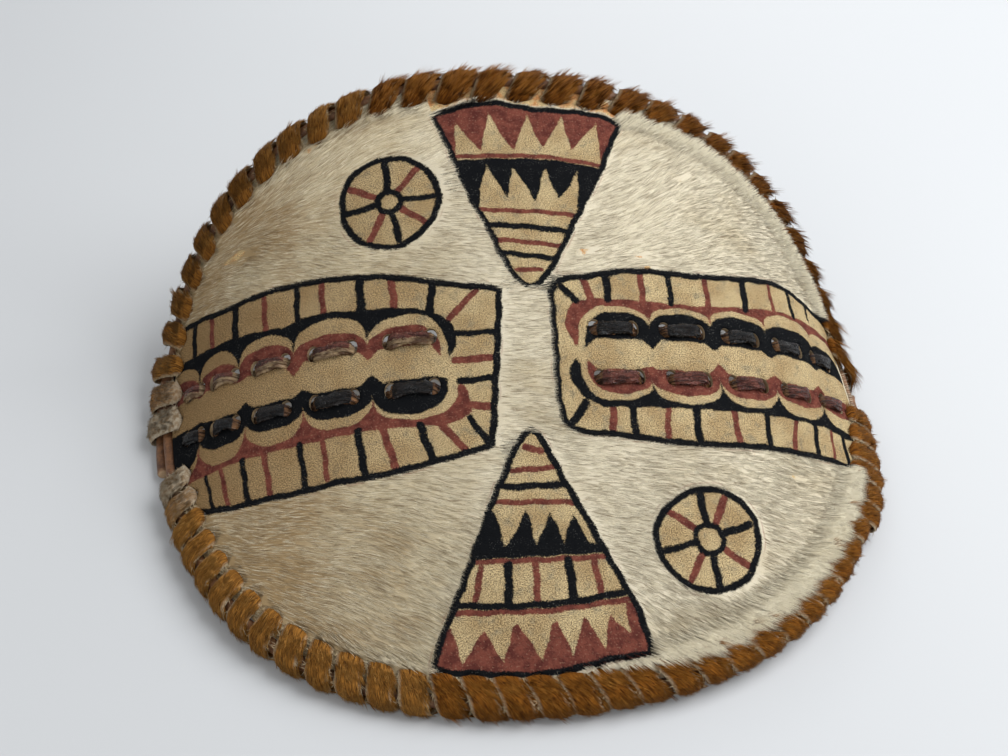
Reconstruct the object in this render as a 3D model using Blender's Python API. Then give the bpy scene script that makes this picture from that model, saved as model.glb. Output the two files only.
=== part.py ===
"""Hide shield: one bent hide, laced with hide strips over a hoop of two rods, with two threaded thongs.

The shield is built in its own frame, where X runs along its long way, Y up its short way and +Z out of
its painted front. The hide is cut flat in u (along X) and v (along Y) and then bent. At the end the
whole shield is laid down the way it comes to rest by itself, on the lower half of its rim.
"""
import math

import bmesh
import bpy
from mathutils import Matrix, Vector
from mathutils.geometry import delaunay_2d_cdt

# The hide, as cut flat: a mean radius, and lobes as (waves around, height, direction in degrees).
PANEL_RADIUS = 0.1940
OUTLINE_LOBES = (
    (1, 0.0027, 21.9),
    (2, 0.0217, 0.0),
    (3, 0.0074, 21.8),
    (4, 0.0017, 36.4),
    (5, 0.0015, 16.2),
)
HIDE_THICKNESS = 0.0030
MESH_CELL = 0.0215
OUTLINE_SEGMENTS = 144

# The bend across the long way: its radius at the middle, the length that sets how it tightens
# outwards (the slope gains the cube of u over it), and the length towards the top edge over which
# the bend gets twice as deep.
BEND_RADIUS = 0.3697
BEND_TIGHTENING_LENGTH = 0.2964
BEND_DEEPENING_LENGTH = 0.3021
BEND_STEPS = 24
BEND_PROBE = 0.0005

# The hoop: two peeled rods that lie side by side where they lap, at the left and at the right.
ROD_BUTT_RADIUS = 0.0034
ROD_TIP_RADIUS = 0.0026
ROD_SIDES = 6
ROD_STEP_DEG = 4.5
FIT_GAP = 0.0005
LEFT_LAP_OUT_DEG = 172.0
LEFT_LAP_END_DEG = 184.0
RIGHT_LAP_OUT_DEG = 343.0
RIGHT_LAP_END_DEG = 361.0
LAP_RAMP_DEG = 5.5
INNER_END_CLEAR_DEG = 3.0
STUB_LENGTH = 0.0090
TWIG_LENGTH = 0.0080
TWIG_RISE = 0.0030

# The lacing: hide strips wound through holes near the edge and round the rods.
STRIP_THICKNESS = 0.0022
HOLE_RADIUS = 0.0050
HOLE_SIDES = 6
HOLE_EDGE_DISTANCE = 0.0085
STRIP_WIDTH_IN_HOLE = 0.0050
STRIP_FILL = 0.82
STRIP_NECK = 0.5
STRIP_SHOULDER = 0.0050
TAIL_REACH = 0.0040
UPPER_PITCH = 0.0196
LOWER_PITCH = 0.0160
# Name, first hole and last hole in degrees, and pitch. The strips start at the left lap.
STRIPS = (
    ("lacing_upper_left", 180.0, 118.0, UPPER_PITCH),
    ("lacing_upper_right", 112.5, 9.0, UPPER_PITCH),
    ("lacing_lower_left", 190.5, 247.0, LOWER_PITCH),
    ("lacing_lower_right", 251.7, 355.0, LOWER_PITCH),
)

# The thongs: one in each row of windows, out through one slot and in through the next. The windows
# draw closer together towards the ends of the hide.
WINDOWS_PER_SIDE = 5
LEFT_FIRST_WINDOW = 0.0586
LEFT_LAST_TO_EDGE = 0.0192
LEFT_CLOSING = 0.36
RIGHT_FIRST_WINDOW = 0.0494
RIGHT_LAST_TO_EDGE = 0.0294
RIGHT_CLOSING = 0.14
UPPER_ROW_HEIGHT = 0.0160
LOWER_ROW_HEIGHT = -0.0124
WINDOW_SHARE = 0.27
SLOT_LENGTH = 0.0066
SLOT_HEIGHT = 0.0096
THONG_WIDTH = 0.0074
THONG_THICKNESS = 0.0024
THONG_CLEARANCE = 0.0006
THONG_TAIL = 0.0030
GRIP_STANDOFF = 0.0240
GRIP_SHOULDER = 0.0180

# Weights in kg per cubic metre, for finding how the shield lies.
LEATHER_DENSITY = 1000.0
WOOD_DENSITY = 700.0


def clear_scene():
    """Remove the objects that a new file opens with."""
    for item in list(bpy.data.objects):
        bpy.data.objects.remove(item, do_unlink=True)


def make_material(name, colour, roughness):
    """Return a Principled material of one colour."""
    material = bpy.data.materials.new(name)
    material.use_nodes = True
    shader = material.node_tree.nodes["Principled BSDF"]
    shader.inputs["Base Color"].default_value = (*colour, 1.0)
    shader.inputs["Roughness"].default_value = roughness
    shader.inputs["Metallic"].default_value = 0.0
    return material


def outline_radius(degrees):
    """Return the flat hide's radius in one direction."""
    lobes = (height * math.cos(waves * math.radians(degrees - towards))
             for waves, height, towards in OUTLINE_LOBES)
    return PANEL_RADIUS + sum(lobes)


def outline(degrees):
    """Return the flat hide's edge point in one direction."""
    radius = outline_radius(degrees)
    return Vector((radius * math.cos(math.radians(degrees)), radius * math.sin(math.radians(degrees))))


def skin(flat, lift=0.0):
    """Bend a flat point (u, v) into the shield, at a height over the hide's middle layer."""
    if lift:
        return skin(flat) + skin_normal(flat) * lift
    step = flat.x / BEND_STEPS
    across = 0.0
    depth = 0.0
    for index in range(BEND_STEPS):
        u = (index + 0.5) * step
        slope = u / BEND_RADIUS + (u / BEND_TIGHTENING_LENGTH) ** 3
        across += math.cos(slope) * step
        depth -= math.sin(slope) * step
    return Vector((across, flat.y, depth + depth * flat.y / BEND_DEEPENING_LENGTH))


def skin_way(flat, direction):
    """Return how the bent hide runs along a flat direction, with its stretch as the length."""
    ahead = skin(flat + direction * BEND_PROBE)
    behind = skin(flat - direction * BEND_PROBE)
    return (ahead - behind) / (2.0 * BEND_PROBE)


def skin_normal(flat):
    """Return the unit vector out of the painted front."""
    return skin_way(flat, Vector((1.0, 0.0))).cross(skin_way(flat, Vector((0.0, 1.0)))).normalized()


def flat_way(flat, way):
    """Return the flat step that moves a point of the bent hide by a way in its surface."""
    across = skin_way(flat, Vector((1.0, 0.0)))
    upwards = skin_way(flat, Vector((0.0, 1.0)))
    mixed = across.dot(upwards)
    spread = across.dot(across) * upwards.dot(upwards) - mixed ** 2
    part_across = across.dot(way)
    part_up = upwards.dot(way)
    return Vector((
        (upwards.dot(upwards) * part_across - mixed * part_up) / spread,
        (across.dot(across) * part_up - mixed * part_across) / spread,
    ))


class RimFrame:
    """A place on the hide's edge: the way along the rim, out of it, and to the front."""

    def __init__(self, degrees):
        step = 0.05
        self.flat = outline(degrees)
        self.edge = skin(self.flat)
        ahead = skin(outline(degrees + step))
        behind = skin(outline(degrees - step))
        self.along = (ahead - behind).normalized()
        self.front = skin_normal(self.flat)
        self.out = self.along.cross(self.front).normalized()

    def at(self, outwards, forwards):
        """Return the point at a distance out of the edge and to the front."""
        return self.edge + self.out * outwards + self.front * forwards


def smooth_step(value):
    """Ease a value from 0 to 1."""
    value = min(1.0, max(0.0, value))
    return value * value * (3.0 - 2.0 * value)


def taper(share):
    """Return a rod's radius at a share of its length from its butt."""
    return ROD_BUTT_RADIUS + (ROD_TIP_RADIUS - ROD_BUTT_RADIUS) * share


class Rod:
    """One rod of the hoop, from its butt to its tip, with the end that lies outside at a lap."""

    def __init__(self, butt_deg, tip_deg, out_from_deg, out_to_deg):
        self.butt_deg = butt_deg
        self.tip_deg = tip_deg
        self.out_from_deg = out_from_deg
        self.out_to_deg = out_to_deg

    def covers(self, degrees):
        """Say whether the rod is there in one direction."""
        low, high = sorted((self.butt_deg, self.tip_deg))
        return any(low <= degrees + turn <= high for turn in (-360.0, 0.0, 360.0))

    def rank(self, degrees):
        """Return 0 where the rod lies on the hide's edge, and 1 where it lies outside the other rod."""
        share = (degrees - self.out_from_deg) / (self.out_to_deg - self.out_from_deg)
        return smooth_step(share)

    def near(self, degrees):
        """Return the same direction, in the turn that the rod counts in."""
        middle = (self.butt_deg + self.tip_deg) / 2.0
        while degrees - middle > 180.0:
            degrees -= 360.0
        while degrees - middle < -180.0:
            degrees += 360.0
        return degrees

    def radius(self, degrees):
        """Return the rod's radius in one direction."""
        share = (self.near(degrees) - self.butt_deg) / (self.tip_deg - self.butt_deg)
        return taper(min(1.0, max(0.0, share)))

    def offset(self, degrees):
        """Return how far the rod's middle lies outside the hide's edge."""
        radius = self.radius(degrees)
        return radius + FIT_GAP + self.rank(self.near(degrees)) * (2.0 * ROD_BUTT_RADIUS + FIT_GAP)


def hoop_rods():
    """Return the upper rod, whose butt is the stub at the left, and the lower rod."""
    upper = Rod(LEFT_LAP_END_DEG, RIGHT_LAP_OUT_DEG + INNER_END_CLEAR_DEG - 360.0,
                LEFT_LAP_OUT_DEG - LAP_RAMP_DEG, LEFT_LAP_OUT_DEG)
    lower = Rod(LEFT_LAP_OUT_DEG + INNER_END_CLEAR_DEG, RIGHT_LAP_END_DEG,
                RIGHT_LAP_OUT_DEG - LAP_RAMP_DEG, RIGHT_LAP_OUT_DEG)
    return upper, lower


def outermost(rods, degrees, half_span):
    """Return the largest offset and radius of the rods within a span of the rim."""
    found = []
    for step in range(-2, 3):
        angle = degrees + half_span * step / 2.0
        for rod in rods:
            if rod.covers(angle):
                found.append((rod.offset(angle), rod.radius(angle)))
    return max(found)


def new_object(name, mesh, material, parent):
    """Make a named object of a mesh, hung under the shield's empty."""
    mesh.materials.append(material)
    item = bpy.data.objects.new(name, mesh)
    bpy.context.scene.collection.objects.link(item)
    item.parent = parent
    return item


def loft(name, rings, material, parent):
    """Join rings of corners into one closed body with flat ends."""
    shape = bmesh.new()
    loops = [[shape.verts.new(corner) for corner in ring] for ring in rings]
    sides = len(loops[0])
    for first, second in zip(loops, loops[1:]):
        for side in range(sides):
            following = (side + 1) % sides
            shape.faces.new((first[side], first[following], second[following], second[side]))
    shape.faces.new(reversed(loops[0]))
    shape.faces.new(loops[-1])
    bmesh.ops.recalc_face_normals(shape, faces=shape.faces)
    mesh = bpy.data.meshes.new(name)
    shape.to_mesh(mesh)
    shape.free()
    return new_object(name, mesh, material, parent)


def square_to(way, broad):
    """Return a way's unit part that is square to the strap's width."""
    return (way - broad * way.dot(broad)).normalized()


def strap_rings(stations, thickness):
    """Return the four-cornered rings of a flat strap.

    A station is the strap's middle, the way that its width runs, and its width. The width keeps that
    way where the strap slants, so that each fold lies flat on what it goes round.
    """
    rings = []
    for index, (middle, broad, width) in enumerate(stations):
        broad = broad.normalized()
        before = stations[max(index - 1, 0)][0]
        after = stations[min(index + 1, len(stations) - 1)][0]
        arriving = square_to(middle - before, broad) if index else square_to(after - middle, broad)
        leaving = square_to(after - middle, broad) if index < len(stations) - 1 else arriving
        along = (arriving + leaving).normalized()
        half_width = broad * width / 2.0
        mitre = 1.0 / max(0.6, along.dot(leaving))
        half_thick = along.cross(broad) * thickness / 2.0 * mitre
        rings.append([
            middle + half_width + half_thick,
            middle - half_width + half_thick,
            middle - half_width - half_thick,
            middle + half_width - half_thick,
        ])
    return rings


def strip_holes(first_deg, last_deg, pitch):
    """Return the directions of a strip's holes, evenly spaced along the rim."""
    fine = 240
    directions = [first_deg + (last_deg - first_deg) * index / fine for index in range(fine + 1)]
    points = [skin(outline(direction)) for direction in directions]
    run = [0.0]
    for before, after in zip(points, points[1:]):
        run.append(run[-1] + (after - before).length)
    turns = max(2, round(run[-1] / pitch))
    holes = []
    for turn in range(turns + 1):
        wanted = run[-1] * turn / turns
        index = next(place for place in range(1, fine + 1) if run[place] >= wanted - 1e-9)
        share = (wanted - run[index - 1]) / (run[index] - run[index - 1])
        holes.append(directions[index - 1] + (directions[index] - directions[index - 1]) * share)
    return holes


def hole_centre(degrees):
    """Return a lacing hole's middle on the flat hide, at a true distance in from the bent edge."""
    frame = RimFrame(degrees)
    return frame.flat - flat_way(frame.flat, frame.out) * HOLE_EDGE_DISTANCE


def hole_outline(degrees):
    """Return a lacing hole's corners on the flat hide, so that it is round once the hide is bent."""
    frame = RimFrame(degrees)
    centre = hole_centre(degrees)
    corners = []
    for side in range(HOLE_SIDES):
        turn = math.tau * (side + 0.5) / HOLE_SIDES
        way = frame.along * math.cos(turn) + frame.out * math.sin(turn)
        corners.append(centre + flat_way(centre, way) * HOLE_RADIUS)
    return corners


def side_windows(first, last, closing, sense):
    """Return the middles and slot reaches of one side's windows, from the shield's middle outwards."""
    places = []
    for index in range(WINDOWS_PER_SIDE):
        share = index / (WINDOWS_PER_SIDE - 1)
        places.append(first + (last - first) * (share + closing * share * (1.0 - share)))
    windows = []
    for index, place in enumerate(places):
        inner = places[max(index - 1, 0)]
        outer = places[min(index + 1, WINDOWS_PER_SIDE - 1)]
        spacing = (outer - inner) / (2.0 if 0 < index < WINDOWS_PER_SIDE - 1 else 1.0)
        windows.append((sense * place, WINDOW_SHARE * spacing))
    return windows


def window_places():
    """Return each window's middle and slot reach, from left to right on the flat hide."""
    left_last = outline_radius(180.0) - LEFT_LAST_TO_EDGE
    right_last = outline_radius(0.0) - RIGHT_LAST_TO_EDGE
    left = side_windows(LEFT_FIRST_WINDOW, left_last, LEFT_CLOSING, -1.0)
    right = side_windows(RIGHT_FIRST_WINDOW, right_last, RIGHT_CLOSING, 1.0)
    return sorted(left) + right


def slot_outline(middle_u, row_v):
    """Return the six corners of a slot with pointed-off upper and lower sides."""
    half_long = SLOT_LENGTH / 2.0
    half_high = SLOT_HEIGHT / 2.0
    corners = (
        (-half_long, -half_high * 0.86),
        (0.0, -half_high * 1.08),
        (half_long, -half_high * 0.86),
        (half_long, half_high * 0.86),
        (0.0, half_high * 1.08),
        (-half_long, half_high * 0.86),
    )
    return [Vector((middle_u + across, row_v + up)) for across, up in corners]


def hide_holes():
    """Return the corners of every hole and slot in the flat hide."""
    holes = []
    for _, first_deg, last_deg, pitch in STRIPS:
        holes += [hole_outline(direction) for direction in strip_holes(first_deg, last_deg, pitch)]
    for row_v in (UPPER_ROW_HEIGHT, LOWER_ROW_HEIGHT):
        for middle_u, reach in window_places():
            holes.append(slot_outline(middle_u - reach, row_v))
            holes.append(slot_outline(middle_u + reach, row_v))
    return holes


def inside(point, corners):
    """Say whether a flat point lies within a closed outline."""
    within = False
    for first, second in zip(corners, corners[1:] + corners[:1]):
        if (first.y > point.y) != (second.y > point.y):
            crossing = first.x + (point.y - first.y) * (second.x - first.x) / (second.y - first.y)
            if point.x < crossing:
                within = not within
    return within


def make_hide(material, parent):
    """Make the hide: a flat sheet with its holes, bent, and given its thickness."""
    edge = [outline(360.0 * index / OUTLINE_SEGMENTS) for index in range(OUTLINE_SEGMENTS)]
    holes = hide_holes()
    fixed = [corner for loop in [edge] + holes for corner in loop]
    points = list(fixed)
    keep_off = MESH_CELL * 0.42
    columns = math.ceil(2.0 * PANEL_RADIUS / MESH_CELL)
    for column in range(-columns, columns + 1):
        for row in range(-columns, columns + 1):
            spot = Vector((MESH_CELL * (column + 0.5 * (row % 2)), MESH_CELL * row * 1.15))
            if inside(spot, edge) and min((spot - corner).length for corner in fixed) > keep_off:
                points.append(spot)
    links = []
    start = 0
    for loop in [edge] + holes:
        count = len(loop)
        links += [(start + index, start + (index + 1) % count) for index in range(count)]
        start += count
    corners, _, faces, _, _, _ = delaunay_2d_cdt(points, links, [], 0, 1e-7)
    shape = bmesh.new()
    dots = [shape.verts.new(skin(corner)) for corner in corners]
    for face in faces:
        middle = sum((corners[index] for index in face), Vector((0.0, 0.0))) / len(face)
        if inside(middle, edge) and not any(inside(middle, hole) for hole in holes):
            shape.faces.new([dots[index] for index in face])
    bmesh.ops.delete(shape, geom=[dot for dot in shape.verts if not dot.link_faces], context="VERTS")
    mesh = bpy.data.meshes.new("hide")
    shape.to_mesh(mesh)
    shape.free()
    item = new_object("hide", mesh, material, parent)
    wall = item.modifiers.new("thickness", "SOLIDIFY")
    wall.thickness = HIDE_THICKNESS
    wall.offset = 0.0
    wall.use_even_offset = True
    return item


def make_rod(name, rod, end_length, end_rise, material, parent):
    """Make one rod of the hoop, with a straight length beyond the end that lies outside."""
    count = max(8, round(abs(rod.tip_deg - rod.butt_deg) / ROD_STEP_DEG))
    ramp = [rod.out_from_deg + (rod.out_to_deg - rod.out_from_deg) * share for share in (0.0, 0.5, 1.0)]
    half_step = 0.6 * ROD_STEP_DEG
    directions = list(ramp)
    for index in range(count + 1):
        direction = rod.butt_deg + (rod.tip_deg - rod.butt_deg) * index / count
        if min(abs(direction - mark) for mark in ramp) > half_step or index in (0, count):
            directions.append(direction)
    directions.sort(reverse=rod.tip_deg < rod.butt_deg)
    rings = []
    for direction in directions:
        frame = RimFrame(direction)
        middle = frame.at(rod.offset(direction), 0.0)
        rings.append(rod_ring(middle, frame, rod.radius(direction)))
    outer_end_is_butt = rod.rank(rod.butt_deg) > 0.5
    end_deg = rod.butt_deg if outer_end_is_butt else rod.tip_deg
    frame = RimFrame(end_deg)
    sense = math.copysign(1.0, end_deg - (rod.butt_deg + rod.tip_deg) / 2.0)
    middle = frame.at(rod.offset(end_deg) + end_rise, 0.0) + frame.along * (sense * end_length)
    beyond = rod_ring(middle, frame, rod.radius(end_deg))
    if outer_end_is_butt:
        rings.insert(0, beyond)
    else:
        rings.append(beyond)
    return loft(name, rings, material, parent)


def rod_ring(middle, frame, radius):
    """Return the corners of a rod's round section."""
    turns = [math.tau * side / ROD_SIDES for side in range(ROD_SIDES)]
    return [middle + (frame.out * math.cos(turn) + frame.front * math.sin(turn)) * radius for turn in turns]


def make_strip(name, first_deg, last_deg, pitch, rods, material, parent):
    """Make one lacing strip, from its tail behind the first hole to its end behind the last wrap."""
    holes = strip_holes(first_deg, last_deg, pitch)
    turn_deg = (last_deg - first_deg) / (len(holes) - 1)
    broad = STRIP_FILL * pitch
    half = STRIP_THICKNESS / 2.0
    stations = []
    for number, hole_deg in enumerate(holes):
        following = holes[number + 1] if number + 1 < len(holes) else hole_deg + turn_deg
        width_deg = abs(turn_deg)

        def frame_at(share):
            return RimFrame(hole_deg + (following - hole_deg) * share)

        wrap = frame_at(0.42)
        offset, radius = outermost(rods, hole_deg + (following - hole_deg) * 0.42, width_deg)
        clear = radius + FIT_GAP + half
        bulge = clear / math.cos(math.radians(30.0))
        shoulder = ROD_BUTT_RADIUS + FIT_GAP + half
        hole = frame_at(0.0)
        passing = skin(hole_centre(hole_deg))
        if number == 0:
            tail = passing - hole.front * TAIL_REACH - hole.out * (TAIL_REACH / 2.0)
            stations.append((tail, hole.along, STRIP_WIDTH_IN_HOLE))
        stations.append((passing, hole.along, STRIP_WIDTH_IN_HOLE))
        frame = frame_at(0.08)
        stations.append((frame.at(-STRIP_SHOULDER, shoulder), frame.along, broad * STRIP_NECK))
        frame = frame_at(0.32)
        stations.append((frame.at(offset + bulge * 0.5, clear), frame.along, broad))
        stations.append((wrap.at(offset + bulge, 0.0), wrap.along, broad))
        frame = frame_at(0.55)
        stations.append((frame.at(offset + bulge * 0.5, -clear), frame.along, broad))
        if number + 1 < len(holes):
            frame = frame_at(0.92)
            stations.append((frame.at(-STRIP_SHOULDER, -shoulder), frame.along, broad * STRIP_NECK))
        else:
            frame = frame_at(0.66)
            stations.append((frame.at(FIT_GAP, -shoulder), frame.along, broad * 0.80))
    return loft(name, strap_rings(stations, STRIP_THICKNESS), material, parent)


def make_thong(name, row_v, material, parent):
    """Make one thong, over the hide in each window and behind it between them, with a free grip."""
    over = HIDE_THICKNESS / 2.0 + THONG_CLEARANCE + THONG_THICKNESS / 2.0
    route = []
    for number, (middle_u, reach) in enumerate(window_places()):
        dive = reach - SLOT_LENGTH * 0.24
        emerge = reach + SLOT_LENGTH * 0.18
        if number == 0:
            route.append((middle_u - emerge - THONG_TAIL, -over))
        if number == WINDOWS_PER_SIDE:
            route.append((middle_u - emerge - GRIP_SHOULDER, -GRIP_STANDOFF))
        route += [
            (middle_u - emerge, -over),
            (middle_u - dive, over),
            (middle_u + dive, over),
            (middle_u + emerge, -over),
        ]
        if number == WINDOWS_PER_SIDE - 1:
            route.append((middle_u + emerge + GRIP_SHOULDER, -GRIP_STANDOFF))
    route.append((middle_u + emerge + THONG_TAIL, -over))
    stations = []
    for u, lift in route:
        flat = Vector((u, row_v))
        stations.append((skin(flat, lift), skin_way(flat, Vector((0.0, 1.0))), THONG_WIDTH))
    return loft(name, strap_rings(stations, THONG_THICKNESS), material, parent)


def solid_points(item):
    """Return the corners and the volume-weighted middle and volume of an object's finished solid."""
    finished = item.evaluated_get(bpy.context.evaluated_depsgraph_get())
    mesh = finished.to_mesh()
    mesh.calc_loop_triangles()
    corners = [vertex.co.copy() for vertex in mesh.vertices]
    volume = 0.0
    moment = Vector()
    for triangle in mesh.loop_triangles:
        first, second, third = (corners[index] for index in triangle.vertices)
        piece = first.dot(second.cross(third)) / 6.0
        volume += piece
        moment += (first + second + third) * (piece / 4.0)
    finished.to_mesh_clear()
    return corners, moment / volume, volume


def resting_down(items):
    """Return the direction that points down, in the shield's frame, when it lies by itself.

    It is the outward normal of the hull's facet that the weight falls through, the one nearest to the
    plane of the lower rim.
    """
    shape = bmesh.new()
    weight = 0.0
    moment = Vector()
    for item, density in items:
        corners, middle, volume = solid_points(item)
        weight += volume * density
        moment += middle * volume * density
        for corner in corners:
            shape.verts.new(corner)
    centre = moment / weight
    left, right, low = (RimFrame(direction).edge for direction in (186.0, 354.0, 270.0))
    lower_plane = (right - left).cross(low - left).normalized()
    if lower_plane.dot(centre - left) > 0.0:
        lower_plane.negate()
    hull = bmesh.ops.convex_hull(shape, input=shape.verts)
    best = None
    for face in hull["geom"]:
        if not isinstance(face, bmesh.types.BMFace):
            continue
        normal = face.normal.copy()
        corners = [vertex.co for vertex in face.verts]
        if normal.dot(centre - corners[0]) > 0.0:
            normal.negate()
            corners.reverse()
        held = all((second - first).cross(centre - first).dot(normal) >= 0.0
                   for first, second in zip(corners, corners[1:] + corners[:1]))
        if held and (best is None or normal.dot(lower_plane) > best.dot(lower_plane)):
            best = normal
    shape.free()
    return best


def lay_down(empty, items):
    """Turn and place the shield's empty so that it lies at rest, centred over the origin."""
    up = -resting_down(items)
    ahead = Vector((0.0, 1.0, 0.0))
    ahead = (ahead - up * ahead.dot(up)).normalized()
    side = ahead.cross(up)
    turn = Matrix((side, ahead, up))
    corners = [turn @ corner for item, _ in items for corner in solid_points(item)[0]]
    low = [min(corner[axis] for corner in corners) for axis in range(3)]
    high = [max(corner[axis] for corner in corners) for axis in range(3)]
    shift = Vector((-(low[0] + high[0]) / 2.0, -(low[1] + high[1]) / 2.0, -low[2]))
    empty.matrix_world = Matrix.Translation(shift) @ turn.to_4x4()


def build():
    """Make every piece of the shield and lay it down."""
    clear_scene()
    hide_skin = make_material("painted_hide", (0.56, 0.46, 0.32), 0.85)
    peeled_wood = make_material("peeled_rod", (0.22, 0.10, 0.05), 0.6)
    golden_hide = make_material("golden_hair_strip", (0.36, 0.17, 0.05), 0.8)
    brown_hide = make_material("red_brown_hair_strip", (0.19, 0.06, 0.02), 0.8)
    rawhide = make_material("twisted_thong", (0.20, 0.09, 0.05), 0.6)
    empty = bpy.data.objects.new("shield", None)
    bpy.context.scene.collection.objects.link(empty)
    upper, lower = hoop_rods()
    items = [
        (make_hide(hide_skin, empty), LEATHER_DENSITY),
        (make_rod("upper_rod", upper, STUB_LENGTH, 0.0, peeled_wood, empty), WOOD_DENSITY),
        (make_rod("lower_rod", lower, TWIG_LENGTH, TWIG_RISE, peeled_wood, empty), WOOD_DENSITY),
    ]
    for name, first_deg, last_deg, pitch in STRIPS:
        hair = golden_hide if name.endswith("_left") else brown_hide
        strip = make_strip(name, first_deg, last_deg, pitch, (upper, lower), hair, empty)
        items.append((strip, LEATHER_DENSITY))
    for name, row_v in (("upper_thong", UPPER_ROW_HEIGHT), ("lower_thong", LOWER_ROW_HEIGHT)):
        items.append((make_thong(name, row_v, rawhide, empty), LEATHER_DENSITY))
    lay_down(empty, items)


build()
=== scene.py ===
"""The looks of a small hide shield: hair-on hide with painted patterns, laced over a hoop of rods.

The hide is a bent sheet. Every place on it is a flat point (u, v), with u along the shield's long way
and v up its short way, and Shell bends it and lays it down as the solid lies. The painted patterns are
kept as distances, in millimetres, from the edges of what is painted, so the paint can have ragged edges.
"""
import logging
import math
from dataclasses import dataclass, field
from enum import Enum

import bpy
import numpy as np
from mathutils import Matrix, Vector
from mathutils.geometry import delaunay_2d_cdt
from mathutils.kdtree import KDTree


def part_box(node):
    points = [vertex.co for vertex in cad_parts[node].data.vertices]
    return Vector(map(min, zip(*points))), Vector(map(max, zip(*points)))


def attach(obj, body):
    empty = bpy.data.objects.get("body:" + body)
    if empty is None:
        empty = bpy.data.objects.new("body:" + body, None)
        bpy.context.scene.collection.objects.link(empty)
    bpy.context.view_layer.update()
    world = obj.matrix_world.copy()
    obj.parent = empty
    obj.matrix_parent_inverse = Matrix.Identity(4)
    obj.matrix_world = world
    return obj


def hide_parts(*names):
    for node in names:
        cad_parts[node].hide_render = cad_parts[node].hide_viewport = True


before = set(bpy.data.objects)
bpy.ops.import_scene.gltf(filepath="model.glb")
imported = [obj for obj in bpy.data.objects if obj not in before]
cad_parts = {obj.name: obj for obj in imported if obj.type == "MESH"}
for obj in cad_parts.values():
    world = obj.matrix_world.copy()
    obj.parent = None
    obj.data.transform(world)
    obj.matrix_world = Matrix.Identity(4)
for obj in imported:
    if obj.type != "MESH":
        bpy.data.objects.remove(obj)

Array = np.ndarray
Colour = tuple[float, float, float]
Path = tuple[tuple[float, float], ...]
Material = bpy.types.Material
Node = bpy.types.Node
Piece = bpy.types.Object
Socket = bpy.types.NodeSocket
Tree = bpy.types.NodeTree

LOG = logging.getLogger("hide_shield")
BODY = "root"
MM = 0.001
FAR = 60.0
FLOOR_GAP = 0.0003
HAIR_SHARE = 1.0


def unit(ways: Array) -> Array:
    """Return ways with length 1."""
    return ways / np.linalg.norm(ways, axis=-1, keepdims=True)


def ease(values: Array) -> Array:
    """Ease values from 0 to 1."""
    held = np.clip(values, 0.0, 1.0)
    return held * held * (3.0 - 2.0 * held)


def squared(values: Array, power: float) -> Array:
    """Push a wave's values towards -1 and 1, which turns a circle into a rounded oblong."""
    return np.sign(values) * np.abs(values) ** power


def round_turns(sides: int) -> Array:
    """Return evenly spaced angles, once round."""
    return np.arange(sides) * math.tau / sides


def run_along(points: Array) -> Array:
    """Return how far along a line each of its points lies."""
    return np.concatenate([[0.0], np.cumsum(np.linalg.norm(np.diff(points, axis=0), axis=1))])


def tree_of(points: Array) -> KDTree:
    """Return a search tree of flat points."""
    tree = KDTree(len(points))
    for index, (u, v) in enumerate(points):
        tree.insert((u, v, 0.0), index)
    tree.balance()
    return tree


def flow(knots: Array, values: Array, wanted: Array) -> Array:
    """Read a smooth curve through values.

    Args:
        knots: Rising parameter of each value.
        values: One row for each knot.
        wanted: Parameters to read at.

    Returns:
        One row for each wanted parameter.
    """
    slopes = np.gradient(values, knots, axis=0)
    index = np.clip(np.searchsorted(knots, wanted, side="right") - 1, 0, len(knots) - 2)
    span = knots[index + 1] - knots[index]
    share = ((wanted - knots[index]) / span)[:, None]
    span = span[:, None]
    square = share * share
    cube = square * share
    return ((2.0 * cube - 3.0 * square + 1.0) * values[index]
            + (cube - 2.0 * square + share) * span * slopes[index]
            + (3.0 * square - 2.0 * cube) * values[index + 1]
            + (cube - square) * span * slopes[index + 1])


def deselect() -> None:
    """Leave edit mode and deselect everything."""
    if bpy.context.object and bpy.context.object.mode != "OBJECT":
        bpy.ops.object.mode_set(mode="OBJECT")
    bpy.ops.object.select_all(action="DESELECT")


def new_piece(name: str, points: Array, faces: list, values: dict[str, Array] | None = None,
              flat: Array | None = None) -> Piece:
    """Make a mesh object at the origin.

    Args:
        name: The piece's name.
        points: Corners in the row frame.
        faces: Corner indices of each face, outside seen anticlockwise.
        values: Named numbers kept at the corners.
        flat: A flat place for each corner, kept as the UV map.

    Returns:
        The new object, linked to the scene.
    """
    mesh = bpy.data.meshes.new(name)
    mesh.from_pydata(points.tolist(), [], faces)
    for title, numbers in (values or {}).items():
        mesh.attributes.new(title, "FLOAT", "POINT").data.foreach_set("value", numbers.astype(np.float32))
    if flat is not None:
        corner = np.empty(len(mesh.loops), np.int32)
        mesh.loops.foreach_get("vertex_index", corner)
        mesh.uv_layers.new(name="flat").data.foreach_set("uv", flat[corner].astype(np.float32).ravel())
    mesh.shade_smooth()
    piece = bpy.data.objects.new(name, mesh)
    bpy.context.scene.collection.objects.link(piece)
    return piece


def hand_over(piece: Piece, material: Material, slot: str, *nodes: str) -> None:
    """Dress a piece and say what it stands for.

    Args:
        piece: The finished piece.
        material: Its finish.
        slot: The record's material slot, not used.
        nodes: The solids that it replaces.
    """
    piece.data.materials.clear()
    piece.data.materials.append(material)
    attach(piece, BODY)
    if nodes:
        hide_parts(*nodes)
    LOG.info("%s: %d faces, for %s", piece.name, len(piece.data.polygons), ", ".join(nodes) or "no node")


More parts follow.
